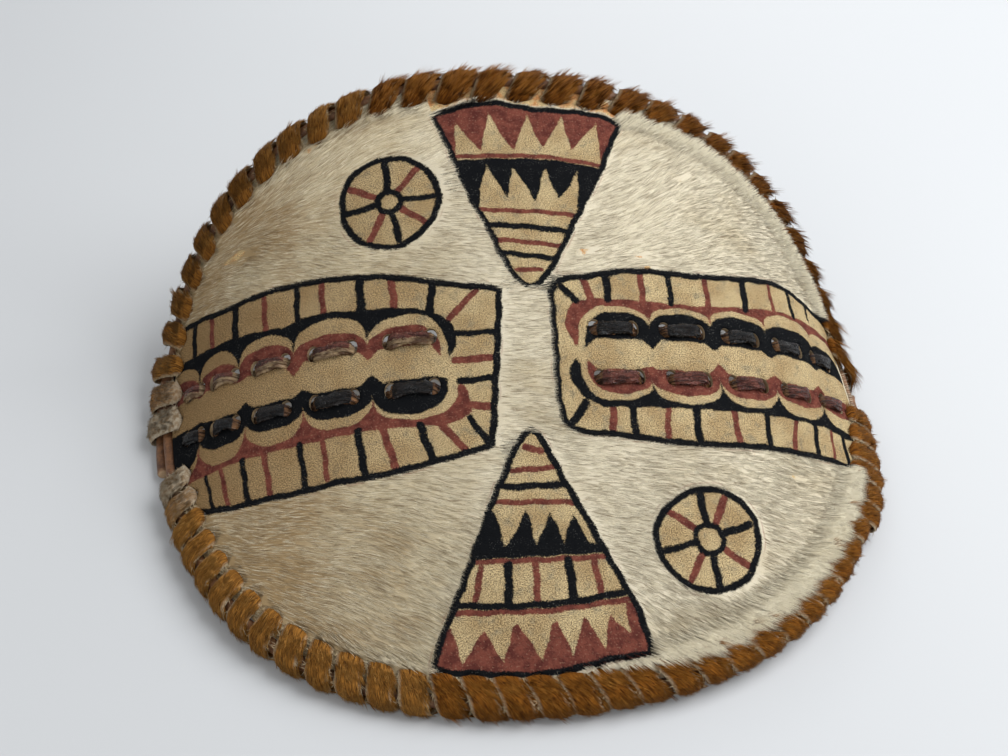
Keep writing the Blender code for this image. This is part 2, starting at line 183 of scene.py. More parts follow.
@dataclass
class Shell:
    """The bent hide as a surface, from its flat shape to where it lies."""

    panel_radius: float = 0.1940
    lobes: tuple = ((1, 0.0027, 21.9), (2, 0.0217, 0.0), (3, 0.0074, 21.8), (4, 0.0017, 36.4),
                    (5, 0.0015, 16.2))
    thickness: float = 0.0030
    bend_radius: float = 0.3697
    tightening_length: float = 0.2964
    deepening_length: float = 0.3021
    lean_deg: float = 25.505
    side_tilt_deg: float = 1.243
    probe: float = 0.0005
    turn: Array = field(init=False)
    shift: Array = field(init=False)

    def __post_init__(self) -> None:
        """Work out the bend's tables and where the shield lies."""
        self.table_u = np.linspace(-0.30, 0.30, 3001)
        slope = self.table_u / self.bend_radius + (self.table_u / self.tightening_length) ** 3
        self.table_slope = slope
        self.table_across = self.run(np.cos(slope))
        self.table_depth = -self.run(np.sin(slope))
        lean = math.radians(self.lean_deg)
        tilt = math.radians(self.side_tilt_deg)
        up = np.array([math.sin(tilt), math.cos(tilt) * math.sin(lean), math.cos(tilt) * math.cos(lean)])
        ahead = unit(np.array([0.0, 1.0, 0.0]) - up * up[1])
        self.turn = np.stack([np.cross(ahead, up), ahead, up])
        self.shift = np.zeros(3)
        edge = self.outline(np.arange(0.0, 360.0, 0.5))
        half = self.thickness / 2.0
        skins = np.concatenate([self.settle(self.bend(edge, half)), self.settle(self.bend(edge, -half))])
        low, high = (np.array(corner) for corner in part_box("hide"))
        self.shift = (low + high - skins.min(0) - skins.max(0)) / 2.0

    def run(self, rates: Array) -> Array:
        """Add up rates along the table, from its middle."""
        step = self.table_u[1] - self.table_u[0]
        total = np.concatenate([[0.0], np.cumsum((rates[1:] + rates[:-1]) / 2.0 * step)])
        return total - total[len(total) // 2]

    def outline_radius(self, degrees: Array) -> Array:
        """Return the flat hide's radius in each direction."""
        return self.panel_radius + sum(height * np.cos(waves * np.radians(degrees - towards))
                                       for waves, height, towards in self.lobes)

    def outline(self, degrees: Array) -> Array:
        """Return the flat hide's edge point in each direction."""
        radius = self.outline_radius(degrees)
        return np.stack([radius * np.cos(np.radians(degrees)), radius * np.sin(np.radians(degrees))], -1)

    def edge_gap(self, flat: Array) -> Array:
        """Return how far inside the hide's edge each flat point lies, along its direction."""
        degrees = np.degrees(np.arctan2(flat[:, 1], flat[:, 0]))
        return self.outline_radius(degrees) - np.linalg.norm(flat, axis=1)

    def bend(self, flat: Array, lift: Array | float = 0.0) -> Array:
        """Bend flat points into the shield's own frame, each at a height over the middle layer."""
        deeper = 1.0 + flat[:, 1] / self.deepening_length
        across = np.interp(flat[:, 0], self.table_u, self.table_across)
        depth = np.interp(flat[:, 0], self.table_u, self.table_depth) * deeper
        points = np.stack([across, flat[:, 1], depth], -1)
        return points + self.bent_normal(flat) * np.reshape(lift, (-1, 1))

    def bent_normal(self, flat: Array) -> Array:
        """Return the way out of the painted front, in the shield's own frame."""
        slope = np.interp(flat[:, 0], self.table_u, self.table_slope)
        depth = np.interp(flat[:, 0], self.table_u, self.table_depth)
        deeper = 1.0 + flat[:, 1] / self.deepening_length
        return unit(np.stack([np.sin(slope) * deeper, -np.cos(slope) * depth / self.deepening_length,
                              np.cos(slope)], -1))

    def bent_way(self, flat: Array, way: Array) -> Array:
        """Return how the bent hide runs along a flat way."""
        ahead = self.bend(flat + way * self.probe)
        return (ahead - self.bend(flat - way * self.probe)) / (2.0 * self.probe)

    def flat_way(self, flat: Array, way: Array) -> Array:
        """Return the flat step that moves a point of the bent hide by a way in its surface."""
        across = self.bent_way(flat, np.array([1.0, 0.0]))
        upwards = self.bent_way(flat, np.array([0.0, 1.0]))
        mixed = (across * upwards).sum(1)
        long = (across ** 2).sum(1)
        high = (upwards ** 2).sum(1)
        part_across = (across * way).sum(1)
        part_up = (upwards * way).sum(1)
        spread = long * high - mixed ** 2
        return np.stack([high * part_across - mixed * part_up, long * part_up - mixed * part_across],
                        -1) / spread[:, None]

    def settle(self, points: Array) -> Array:
        """Lay points of the shield's own frame down in the row frame."""
        return points @ self.turn.T + self.shift

    def place(self, flat: Array, lift: Array | float = 0.0) -> Array:
        """Return flat points on the lying shield."""
        return self.settle(self.bend(flat, lift))

    def normal(self, flat: Array) -> Array:
        """Return the way out of the painted front of the lying shield."""
        return self.bent_normal(flat) @ self.turn.T


class Rim:
    """Places on the hide's edge: the way along the rim, out of it, and to the front."""

    probe_deg = 0.05

    def __init__(self, shell: Shell, degrees: Array) -> None:
        self.flat = shell.outline(degrees)
        self.edge = shell.bend(self.flat)
        ahead = shell.bend(shell.outline(degrees + self.probe_deg))
        self.along = unit(ahead - shell.bend(shell.outline(degrees - self.probe_deg)))
        self.front = shell.bent_normal(self.flat)
        self.out = unit(np.cross(self.along, self.front))

    def at(self, outwards: Array | float, forwards: Array | float) -> Array:
        """Return the points at a distance out of the edge and to the front."""
        aside = self.out * np.reshape(outwards, (-1, 1))
        return self.edge + aside + self.front * np.reshape(forwards, (-1, 1))


class Ink(Enum):
    """The colours that the patterns are painted in."""

    RED = "red"
    BLACK = "black"


class Painting:
    """Everything painted on the hide, as strokes and patches in millimetres on the flat hide."""

    def __init__(self) -> None:
        self.fields: list[Array] = []
        self.patches: dict[Ink, list[Array]] = {ink: [] for ink in Ink}
        self.strokes: dict[Ink, list[tuple[Array, Array]]] = {ink: [] for ink in Ink}
        self.nicks: list[tuple[float, float, float]] = []
        self.bald: list[Array] = []

    @staticmethod
    def waver(points: Array) -> Array:
        """Move points a little, so that what is painted looks drawn by hand."""
        u, v = points[:, 0], points[:, 1]
        aside = 0.30 * np.sin(v * 0.43 + 1.1 * np.sin(u * 0.31)) + 0.08 * np.sin(u * 1.25 + v * 0.9 + 2.0)
        along = 0.30 * np.sin(u * 0.39 + 1.3 * np.sin(v * 0.27)) + 0.08 * np.sin(u * 1.1 - v * 1.35 + 1.0)
        return points + np.stack([aside, along], -1)

    def field(self, outline: Path | Array) -> None:
        """Clip the hair within an outline, where the ground is tan."""
        self.fields.append(np.array(outline, float))

    def patch(self, ink: Ink, outline: Path | Array) -> None:
        """Fill an outline."""
        self.patches[ink].append(np.array(outline, float))

    def stroke(self, ink: Ink, path: Path | Array, widths: float | tuple[float, ...]) -> None:
        """Draw a line, of one width or of a width at each point."""
        points = np.array(path, float)
        self.strokes[ink].append((points, np.broadcast_to(np.array(widths, float), len(points))))

    def bars(self, ink: Ink, bars: tuple[tuple[float, ...], ...]) -> None:
        """Draw straight bars, each as two ends and a width."""
        for first_u, first_v, last_u, last_v, width in bars:
            self.stroke(ink, ((first_u, first_v), (last_u, last_v)), width)

    def nick(self, u: float, v: float, radius: float) -> None:
        """Leave a small place bare of hair."""
        self.nicks.append((u, v, radius))

    def bald_patch(self, outline: Path | Array) -> None:
        """Leave the hair off within an outline."""
        self.bald.append(np.array(outline, float))

    @staticmethod
    def near(points: Array, outline: Array, margin: float) -> Array:
        """Return which points lie near an outline's box."""
        low = outline.min(0) - margin
        high = outline.max(0) + margin
        return np.nonzero(((points > low) & (points < high)).all(1))[0]

    @staticmethod
    def line_gap(points: Array, path: Array, widths: Array) -> Array:
        """Return the distance from a line's edge, less than 0 on the line."""
        best = np.full(len(points), FAR)
        for first, last, first_width, last_width in zip(path, path[1:], widths, widths[1:]):
            way = last - first
            share = np.clip(((points - first) @ way) / max(way @ way, 1e-9), 0.0, 1.0)
            gap = np.linalg.norm(points - first - share[:, None] * way, axis=1)
            best = np.minimum(best, gap - (first_width + (last_width - first_width) * share) / 2.0)
        return best

    @classmethod
    def patch_gap(cls, points: Array, outline: Array) -> Array:
        """Return the distance from a patch's edge, less than 0 inside it."""
        closed = np.concatenate([outline, outline[:1]])
        gap = cls.line_gap(points, closed, np.zeros(len(closed)))
        within = np.zeros(len(points), bool)
        for first, last in zip(closed, closed[1:]):
            crosses = (first[1] > points[:, 1]) != (last[1] > points[:, 1])
            rise = last[1] - first[1] if last[1] != first[1] else 1e-9
            meets = first[0] + (points[:, 1] - first[1]) * (last[0] - first[0]) / rise
            within ^= crosses & (points[:, 0] < meets)
        return np.where(within, -gap, gap)

    def gather(self, points: Array, outlines: list[Array], margin: float) -> Array:
        """Return each point's least distance from several patches."""
        best = np.full(len(points), FAR)
        for outline in outlines:
            index = self.near(points, outline, margin)
            best[index] = np.minimum(best[index], self.patch_gap(points[index], outline))
        return best

    def clipped(self, points: Array, margin: float = 16.0) -> Array:
        """Return the distance from the clipped fields, less than 0 inside them."""
        return self.gather(self.waver(points), self.fields, margin)

    def ink(self, ink: Ink, points: Array, margin: float = 5.0) -> Array:
        """Return the distance from all that is painted in one colour."""
        u, v = points[:, 0], points[:, 1]
        phase, gain = (1.0, -0.30) if ink is Ink.RED else (2.0, -0.42)
        swell = gain + 0.20 * np.sin(u * 0.83 + v * 1.6) * np.sin(v * 0.74 - u * 1.45 + phase)
        points = self.waver(points)
        best = self.gather(points, self.patches[ink], margin)
        for path, widths in self.strokes[ink]:
            index = self.near(points, path, margin)
            best[index] = np.minimum(best[index], self.line_gap(points[index], path, widths))
        return best + swell

    def bare(self, points: Array) -> Array:
        """Return the distance from the places without hair."""
        best = self.gather(self.waver(points) + self.waver(points * 0.37) - points * 0.37, self.bald, 6.0)
        for u, v, radius in self.nicks:
            best = np.minimum(best, np.hypot((points[:, 0] - u) * 0.8, points[:, 1] - v) - radius)
        return best

    def values(self, points: Array) -> dict[str, Array]:
        """Return the distances that the finishes read, by name."""
        return {"clipped": self.clipped(points), "red": self.ink(Ink.RED, points),
                "black": self.ink(Ink.BLACK, points), "bare": self.bare(points)}


@dataclass(frozen=True)
class ToothedTriangle:
    """A painted triangle that points to the shield's middle, with teeth, lines and bars across it."""

    outline: Path
    outline_width: float
    patches: tuple[tuple[Ink, Path], ...]
    lines: tuple[tuple[Ink, Path, float], ...]
    bars: tuple[tuple[Ink, tuple[tuple[float, ...], ...]], ...] = ()

    def paint(self, painting: Painting) -> None:
        """Add the triangle to the painting."""
        painting.field(self.outline)
        for ink, outline in self.patches:
            painting.patch(ink, outline)
        for ink, path, width in self.lines:
            painting.stroke(ink, path, width)
        for ink, bars in self.bars:
            painting.bars(ink, bars)
        painting.stroke(Ink.BLACK, self.outline + self.outline[:1], self.outline_width)


@dataclass(frozen=True)
class ScallopRow:
    """One row of scallops on a side panel, with the band of the other colour between it and the ladder.

    Heights are measured from the panel's middle line towards the ladder. Joints are where two scallops
    meet, from the rim to the shield's middle: u, the height that the join reaches down to, and the
    heights of the scallops' notch and of the band's point. Crests are the heights in each scallop's
    middle, of the scallop and of the tan arc over it.
    """

    sense: float
    ink: Ink
    band_ink: Ink
    joints: tuple[tuple[float, float, float, float], ...]
    crests: tuple[tuple[float, float], ...]
    window_edge: float
    ladder_line: Path
    band_tail: Path
    joint_half_width: float = 5.5
    roundness: float = 2.3
    steps: int = 14

    def arch(self, first: tuple[float, float], last: tuple[float, float], crest: float) -> list:
        """Return the points of one round arch between two notches."""
        middle = (first[0] + last[0]) / 2.0
        half = (last[0] - first[0]) / 2.0
        points = []
        for step in range(self.steps + 1):
            turn = -1.0 + 2.0 * step / self.steps
            share = math.sin(turn * math.pi / 2.0)
            foot = first[1] + (last[1] - first[1]) * (share + 1.0) / 2.0
            rise = (1.0 - abs(share) ** self.roundness) ** (1.0 / self.roundness)
            points.append((middle + half * share, foot + (crest - foot) * rise))
        return points

    def scallops(self) -> list:
        """Return the outline of the whole row of scallops."""
        points = []
        for number, (scallop, _) in enumerate(self.crests):
            first, last = self.joints[number], self.joints[number + 1]
            points += self.arch((first[0], first[2]), (last[0], last[2]), scallop)
        under = []
        for number, joint in enumerate(self.joints):
            sense = math.copysign(1.0, self.joints[-1][0] - self.joints[0][0])
            reach = self.joint_half_width * sense
            if number:
                under.append((joint[0] - reach, self.window_edge))
            under.append((joint[0], joint[1]))
            if number < len(self.joints) - 1:
                under.append((joint[0] + reach, self.window_edge))
        return points + under[::-1]

    def band(self) -> list:
        """Return the outline of the band between the ladder's line and the tan arcs."""
        points = []
        for number, (_, arc) in enumerate(self.crests):
            first, last = self.joints[number], self.joints[number + 1]
            last_place = (last[0], last[3])
            if number == len(self.crests) - 1:
                last_place = self.band_tail[0]
            points += self.arch((first[0], first[3]), last_place, arc)
        return points + list(self.band_tail[1:]) + list(self.ladder_line)

    def paint(self, painting: Painting) -> None:
        """Add the row and its band to the painting."""
        for ink, outline in ((self.band_ink, self.band()), (self.ink, self.scallops())):
            painting.patch(ink, np.array(outline) * (1.0, self.sense))


@dataclass(frozen=True)
class SidePanel:
    """A side panel: a ladder of bars round two rows of scallops."""

    outline: Path
    outline_width: float
    rows: tuple[ScallopRow, ScallopRow]
    red_bars: tuple[tuple[float, ...], ...]
    black_bars: tuple[tuple[float, ...], ...]

    def paint(self, painting: Painting) -> None:
        """Add the panel to the painting."""
        painting.field(self.outline)
        for row in self.rows:
            row.paint(painting)
        painting.bars(Ink.RED, self.red_bars)
        painting.bars(Ink.BLACK, self.black_bars)
        painting.stroke(Ink.BLACK, self.outline, self.outline_width)


@dataclass(frozen=True)
class Wheel:
    """A painted wheel with four black and four red spokes."""

    centre: tuple[float, float]
    radii: tuple[float, float]
    tilt_deg: float
    hub_radius: float
    hub_line: float
    black_spokes: tuple[tuple[float, float], ...]
    red_spokes: tuple[tuple[float, float], ...]
    rim_line: float = 2.9
    waver: float = 0.5

    def ring(self, inset: float, waver: float) -> Array:
        """Return the wheel's ring, moved in by an inset, a little out of true."""
        turns = np.linspace(0.0, math.tau, 49)
        off = waver * np.sin(3.0 * turns + 0.7) + waver * 0.6 * np.sin(5.0 * turns + 2.1)
        u = (self.radii[0] - inset + off) * np.cos(turns)
        v = (self.radii[1] - inset + off) * np.sin(turns)
        tilt = math.radians(self.tilt_deg)
        return np.stack([self.centre[0] + u * math.cos(tilt) - v * math.sin(tilt),
                         self.centre[1] + u * math.sin(tilt) + v * math.cos(tilt)], -1)

    def paint(self, painting: Painting) -> None:
        """Add the wheel to the painting."""
        ring = self.ring(self.rim_line / 2.0, self.waver)
        painting.field(self.ring(0.3, self.waver))
        painting.stroke(Ink.BLACK, ring, self.rim_line)
        turns = np.linspace(0.0, math.tau, 25)
        hub = np.stack([self.centre[0] + self.hub_radius * np.cos(turns),
                        self.centre[1] + self.hub_radius * np.sin(turns)], -1)
        painting.stroke(Ink.BLACK, hub, self.hub_line)
        reach = min(self.radii) - self.rim_line
        for ink, spokes in ((Ink.RED, self.red_spokes), (Ink.BLACK, self.black_spokes)):
            start = self.hub_radius + (1.0 if ink is Ink.RED else 0.0)
            for degrees, width in spokes:
                way = np.array([math.cos(math.radians(degrees)), math.sin(math.radians(degrees))])
                middle = np.array(self.centre)
                painting.stroke(ink, np.array([middle + way * start, middle + way * reach]), width)


TOP_TRIANGLE = ToothedTriangle(
    outline=((-37.2, 151), (-30, 152.3), (-20, 154.3), (-10, 155.8), (0, 155.2), (7, 153.4), (17, 151.2),
             (30, 150.6), (45, 150.2), (55, 148.8), (62, 146.8), (67.4, 143.6), (60.9, 130), (56.2, 119.4),
             (51.2, 108.9), (45, 98.4), (40.4, 89.6), (33.8, 78.2), (28.6, 67.6), (22.7, 56.7),
             (17.2, 48.3), (12, 42.4), (7.6, 40.4), (4.2, 41.6), (0.6, 45.2), (-4.3, 54), (-8.2, 64.1),
             (-11.9, 76.4), (-15.2, 84.6), (-19.4, 93.5), (-22.9, 105.4), (-26.6, 118.6), (-29.6, 128.4),
             (-34, 141.2)),
    outline_width=2.6,
    patches=(
        (Ink.RED, ((-37, 150), (-10, 155), (15, 151), (50, 150), (67, 143.5), (56, 118), (54.4, 115),
                   (54.3, 117.3), (54.2, 144.6), (46, 134.5), (37.9, 125.2), (36.5, 134), (34.4, 148.6),
                   (29, 137.5), (21.8, 126.6), (18.4, 136), (15, 149.2), (10.6, 137), (5.4, 125.4),
                   (-0.5, 135.5), (-6.6, 149.6), (-10.4, 134), (-12.8, 125.8), (-18.5, 134),
                   (-25.5, 145.2), (-26.2, 133), (-26.6, 121), (-29.6, 128.4))),
        (Ink.BLACK, ((-26.6, 119.6), (0, 119.6), (15, 119), (30, 117.4), (42, 115), (53.6, 113.2),
                     (41, 90), (37.4, 87.6), (38.8, 95), (39.7, 103.5), (40.2, 113.2), (34.6, 103),
                     (27.5, 93.8), (24.8, 103), (21.8, 115), (18, 103.5), (14.6, 92), (9.6, 104.5),
                     (3.6, 115.4), (1.6, 105), (-0.7, 95.6), (-5.4, 107), (-10.2, 116.8), (-13, 108.6),
                     (-15.2, 101), (-16.4, 90), (-19.2, 92.4))),
    ),
    lines=(
        (Ink.RED, ((-26.2, 122.2), (0, 121.6), (20, 120.7), (30, 119.1), (41, 117.2), (54, 115.6)), 2.3),
        (Ink.RED, ((-15.6, 88.6), (0, 86.6), (20, 85), (35.4, 83.1)), 2.3),
        (Ink.BLACK, ((-12.4, 78.4), (0, 77.3), (20, 74.7), (30, 73.2)), 2.9),
        (Ink.RED, ((-9.6, 68.9), (0, 68), (13, 65.9), (25.4, 64.4)), 2.4),
        (Ink.BLACK, ((-7.6, 61), (0, 59.9), (11.3, 58), (22.7, 56.4)), 2.6),
        (Ink.RED, ((0.8, 50.7), (7, 49.9), (14, 50.1)), 2.2),
    ),
)

BOTTOM_TRIANGLE = ToothedTriangle(
    outline=((-0.4, -40.2), (3.2, -42.6), (4.8, -46.6), (9.2, -56.6), (13, -67.1), (17.6, -77.6),
             (22.7, -89), (27.1, -99.5), (31.5, -109.1), (35.2, -117.9), (39.6, -127.5), (43, -136.3),
             (45.5, -145.9), (47, -154.6), (47, -159.2), (40.4, -159.4), (30, -160), (20.3, -161.7),
             (10.2, -163.6), (0, -165), (-9.6, -165.4), (-20, -165), (-30.6, -163.8), (-40.3, -162.4),
             (-50, -161.4), (-57.4, -159), (-56.4, -152.9), (-51.4, -141.5), (-46.2, -130.1),
             (-41, -119.6), (-36.1, -108.2), (-31.3, -97.7), (-26.9, -87.2), (-22.5, -76.7),
             (-17.5, -67.1), (-13.7, -59.2), (-9.2, -50.4), (-4.4, -43.4)),
    outline_width=2.8,
    patches=(
        (Ink.BLACK, ((-35, -105.4), (-26, -84), (-24.2, -81), (-22.3, -85), (-20.8, -92), (-18.8, -102.6),
                     (-16.4, -100.2), (-10.6, -90.4), (-6.8, -84), (-5, -92), (-3.9, -102.6),
                     (-1.6, -99.6), (2.4, -91), (5.2, -85.8), (7.3, -92), (10.6, -103), (13, -95),
                     (16.2, -87), (19.4, -94.6), (23, -101.8), (29.4, -103.6), (31, -107.2), (0, -107.4),
                     (-17.5, -107), (-34, -106.4))),
        (Ink.RED, ((-52.5, -142), (-48, -140), (-46.2, -148), (-43.8, -158.8), (-39.2, -152),
                   (-34.6, -145.4), (-31.8, -143.2), (-28.4, -151), (-24, -159.2), (-20.6, -149.5),
                   (-18, -142), (-16.4, -140.6), (-11.8, -148), (-5.6, -159.7), (-1.8, -149.6),
                   (0.6, -142.4), (2.6, -140.2), (6, -148), (9.3, -159.2), (13, -147.8), (16.8, -138.8),
                   (20.6, -147), (25, -157.5), (26.6, -148), (29.2, -139), (32, -143.2), (38.2, -148.9),
                   (37.9, -141), (37.4, -133.8), (42, -133), (47, -155), (46, -160), (10, -164),
                   (-10, -166), (-30, -164.4), (-57, -159.4))),
    ),
    lines=(
        (Ink.RED, ((-4, -49.8), (-0.6, -51.4), (3.6, -52.4)), 3),
        (Ink.RED, ((-12, -62.2), (-4.3, -61.8), (4.5, -61.6), (11.2, -61.2)), 2.6),
        (Ink.BLACK, ((-18.2, -69.8), (-8.7, -70.8), (0, -70.6), (14.8, -71)), 3),
        (Ink.RED, ((-21.4, -78.1), (-9.6, -78.9), (6.2, -79.5), (18.8, -81)), 2.4),
        (Ink.RED, ((-33.6, -107.8), (-17.5, -108.8), (0, -109.4), (17.6, -109.5), (31, -109.3)), 2.4),
        (Ink.BLACK, ((-44.4, -128.8), (-30.6, -130.6), (-17.5, -131.6), (0, -131.8), (17.6, -130.6),
                     (30, -128.9), (39.4, -127.4)), 2.8),
        (Ink.RED, ((-45.4, -132.6), (-30.6, -133.6), (-17.5, -134), (-4.7, -135), (4.5, -134.4),
                   (17.6, -133.4), (39.6, -131.4)), 2.6),
    ),
    bars=(
        (Ink.RED, ((-31, -110.5, -35.6, -128.6, 2.5), (-4.5, -110.5, -5.4, -130.4, 2.8),
                   (24.2, -110.5, 26.1, -128.8, 2.8))),
        (Ink.BLACK, ((-17.9, -110.5, -19.3, -130.6, 3.5), (11.6, -110.5, 12.4, -130, 3.8))),
    ),
)

LEFT_PANEL = SidePanel(
    outline=((-216, 62), (-190, 61.3), (-178, 61), (-166.7, 59), (-150, 59.6), (-129, 60.3), (-108, 59.2),
             (-96, 57.8), (-84, 56), (-70.7, 54), (-57.3, 51), (-44, 47.2), (-30.7, 43.4), (-20, 41.4),
             (-10, 39.6), (-10.6, 30), (-12.6, 14), (-14, 0.7), (-16, -12.7), (-17.8, -28.7),
             (-19.2, -39.3), (-21, -47.8), (-33.3, -51), (-46.7, -53.5), (-60, -56), (-73.3, -57.9),
             (-86.7, -59.2), (-97.3, -58.9), (-110.7, -60.6), (-126.7, -61.3), (-142.7, -61.4),
             (-156, -62.6), (-172, -61.3), (-190, -58.7), (-216, -56)),
    outline_width=2.9,
    rows=(
        ScallopRow(
            sense=1, ink=Ink.RED, band_ink=Ink.BLACK, window_edge=12.6,
            joints=((-214, 9, 12, 20), (-183.3, 9.6, 15.2, 20.2), (-155, 10.4, 15.2, 18.5),
                    (-121.3, 4.9, 16.7, 20.6), (-80.7, 7.2, 13.2, 18.6), (-42.6, 4, 6, 4)),
            crests=((26, 34), (24.4, 33.8), (26.8, 33.6), (25.2, 34.8), (24, 30.6)),
            band_tail=((-38.8, 6), (-38, 3.2)),
            ladder_line=((-34.8, 9.6), (-34.2, 15.3), (-36, 20.7), (-41.3, 26.4), (-48, 30.6),
                         (-58.7, 33.9), (-70.7, 35.3), (-85.3, 36.2), (-100, 38.2), (-106.7, 38.8),
                         (-118.7, 37.4), (-126.7, 35.4), (-140, 36.8), (-158.7, 38.2), (-178.7, 38.2),
                         (-197.3, 38.8), (-214, 40))),
        ScallopRow(
            sense=-1, ink=Ink.BLACK, band_ink=Ink.RED, window_edge=7.6,
            joints=((-214, 5, 15, 24), (-183.3, 5.8, 15.4, 21), (-151.6, 3.2, 13.8, 18),
                    (-117, 4.4, 12, 16.2), (-79.6, 2.6, 11.4, 16.2), (-40.3, 9.2, 10.5, 12)),
            crests=((33, 38), (24.7, 35.2), (22.8, 32.2), (23.4, 29.8), (26.8, 30.4)),
            band_tail=((-35.2, 15), (-33.4, 11.3)),
            ladder_line=((-31.4, 15), (-30, 22), (-29.3, 28.7), (-34.7, 32.6), (-45.3, 34.6), (-58.7, 34),
                         (-80, 33.4), (-98.7, 33.8), (-132, 35.5), (-161.3, 36.9), (-178.7, 39.4),
                         (-214, 43))),
    ),
    red_bars=((-174.2, 58, -173.2, 38, 2.9), (-137.8, 58.6, -137.3, 37, 2.8),
              (-104.3, 58, -103.6, 38, 2.9), (-65.8, 53, -65.3, 35, 3.6), (-22, 39.6, -37.6, 24, 3),
              (-35.4, 0.4, -14.6, 0.5, 3.6), (-30, -24.4, -17.8, -27.4, 3.8),
              (-44.9, -34.4, -34.5, -49, 3.4), (-75.5, -32.6, -69.2, -56, 3.4),
              (-107, -32.6, -105.2, -57, 2.5), (-140.1, -36.4, -136.8, -59.6, 2.8),
              (-167.4, -39, -162.5, -60, 2.5)),
    black_bars=((-188.2, 58, -188, 40, 3.2), (-156.6, 58.6, -156.4, 38, 3.7),
                (-118.2, 58.6, -118.6, 37, 2.7), (-83, 55.6, -83, 36, 4), (-44.5, 46.4, -46.8, 30, 3.6),
                (-34, 15.4, -12.8, 15.1, 2.5), (-34, -11.3, -15.8, -10.7, 3),
                (-30.6, -32, -21.6, -47.6, 2.7), (-56.2, -33.4, -50.4, -54, 3.4),
                (-88.2, -32.6, -85.2, -58, 3.4), (-120, -34.6, -116.9, -60, 2.7),
                (-153.4, -36.6, -150.3, -61, 2.8), (-177.8, -40, -172.2, -60, 1.9)),
)

RIGHT_PANEL = SidePanel(
    outline=((216, 49), (205, 50), (193.3, 50.7), (184, 53.4), (173.3, 56.6), (164, 58.2), (152, 57.6),
             (140, 55.3), (126.7, 52.9), (113.3, 51.4), (100, 50.4), (74.7, 50.6), (60, 49.8), (50, 48.2),
             (38.7, 45.8), (26.7, 44.6), (19.6, 42.4), (17.4, 35.3), (17, 16.7), (16.6, 3.3), (16, -10),
             (15.8, -23.3), (16.8, -34), (20, -40.6), (28, -43.4), (40, -44.6), (53.3, -46.8),
             (66.7, -48.8), (80, -50), (93.3, -50.6), (113.3, -50.4), (133.3, -50.2), (146.7, -50.8),
             (166.7, -51.8), (180, -53), (189.3, -54.6), (197.3, -51.4), (216, -49)),
    outline_width=2.9,
    rows=(
        ScallopRow(
            sense=1, ink=Ink.BLACK, band_ink=Ink.RED, window_edge=9.6,
            joints=((216, 8, 14, 24), (181.3, 7.2, 21.6, 28.6), (142.6, 6, 20.6, 26),
                    (105.6, 5.2, 17.2, 22.4), (69.6, 4, 15.2, 20.6), (33, 4.6, 6, 5)),
            crests=((25.3, 34), (28, 36.6), (27.4, 31.4), (25.4, 29.4), (24.8, 28.8)),
            band_tail=((28.6, 6), (27.3, 4.8)),
            ladder_line=((24.8, 11.3), (23.2, 18.7), (25.2, 25.3), (30, 31), (38.7, 32.2), (60, 32.2),
                         (80, 31.6), (100, 31.4), (113.3, 32.8), (126.7, 34.4), (140, 36.2), (150.7, 38.2),
                         (164, 38.8), (178.7, 38.4), (197, 37.6), (216, 37))),
        ScallopRow(
            sense=-1, ink=Ink.RED, band_ink=Ink.BLACK, window_edge=8.4,
            joints=((216, 5, 13, 18), (180, 3.8, 12.6, 16.7), (142.8, 5.8, 12.6, 16.7),
                    (106.8, 2.6, 11, 15.3), (66.4, 7, 13.4, 17.4), (32.6, 3.4, 5, 5)),
            crests=((20.8, 31), (20.8, 28.8), (22.2, 27.8), (22.8, 28.2), (22.2, 26.6)),
            band_tail=((28.4, 6), (26.6, 2.6)),
            ladder_line=((22.8, 7.3), (23.8, 15.3), (28.4, 23.3), (38.7, 29.3), (53.3, 29.9), (74.7, 30.1),
                         (100, 30.3), (130, 30.3), (160, 30.8), (177.3, 31.5), (193.3, 35.2), (216, 34))),
    ),
    red_bars=((34.7, 44.8, 38.8, 33, 3.5), (68, 49, 67.7, 32, 3.2), (106.8, 49.6, 106.4, 32, 2.9),
              (152.7, 56, 153, 38, 2.2), (43.4, -30, 42, -43.6, 3.4), (72.8, -30, 70.7, -48, 2.9),
              (111, -30, 111.3, -49, 3.3), (152.8, -30.6, 147.6, -49.4, 2.9), (180.8, -32, 178, -51, 1.8)),
    black_bars=((22.6, 40.2, 30.2, 31.4, 3.2), (48.2, 47, 47.9, 32.6, 3.7), (84.6, 49, 84.2, 32, 2.7),
                (132.2, 53, 131.4, 34.6, 3.7), (169, 56, 169.3, 38.6, 2.4), (185.4, 52, 184.8, 42, 1.5),
                (29.6, -27.6, 21.6, -37.4, 3.7), (53.4, -30, 53.7, -46.4, 3.1),
                (88.7, -30, 88, -49.6, 3.7), (131.8, -30, 130.6, -49.4, 2.9),
                (167.8, -31, 164.6, -51, 2.9), (190.7, -35, 191, -52, 3)),
)

UPPER_WHEEL = Wheel(
    centre=(-64.2, 99.2), radii=(27.9, 29.2), tilt_deg=0, hub_radius=6.4, hub_line=2.8,
    black_spokes=((92, 3.4), (-1, 2.8), (187, 3.4), (-80, 3.1)),
    red_spokes=((49, 3.2), (150, 3.2), (242, 3.6), (-40, 3)))

LOWER_WHEEL = Wheel(
    centre=(85.2, -102), radii=(29.8, 27.6), tilt_deg=28, hub_radius=7.6, hub_line=2.2,
    black_spokes=((95, 3.6), (18, 3.4), (193, 2.9), (-86, 3.3)),
    red_spokes=((62, 3.4), (143, 3.2), (238, 3.2), (-36, 3.4)))

# The strip above the upper triangle where the hair is worn away.
BALD = (((-38, 153), (-22, 157), (-10, 159), (0, 158), (8, 156), (18, 153.5), (32, 153), (48, 152.6),
         (58, 151), (66, 148), (70, 152), (56, 164), (20, 172), (-10, 175), (-40, 170)),)
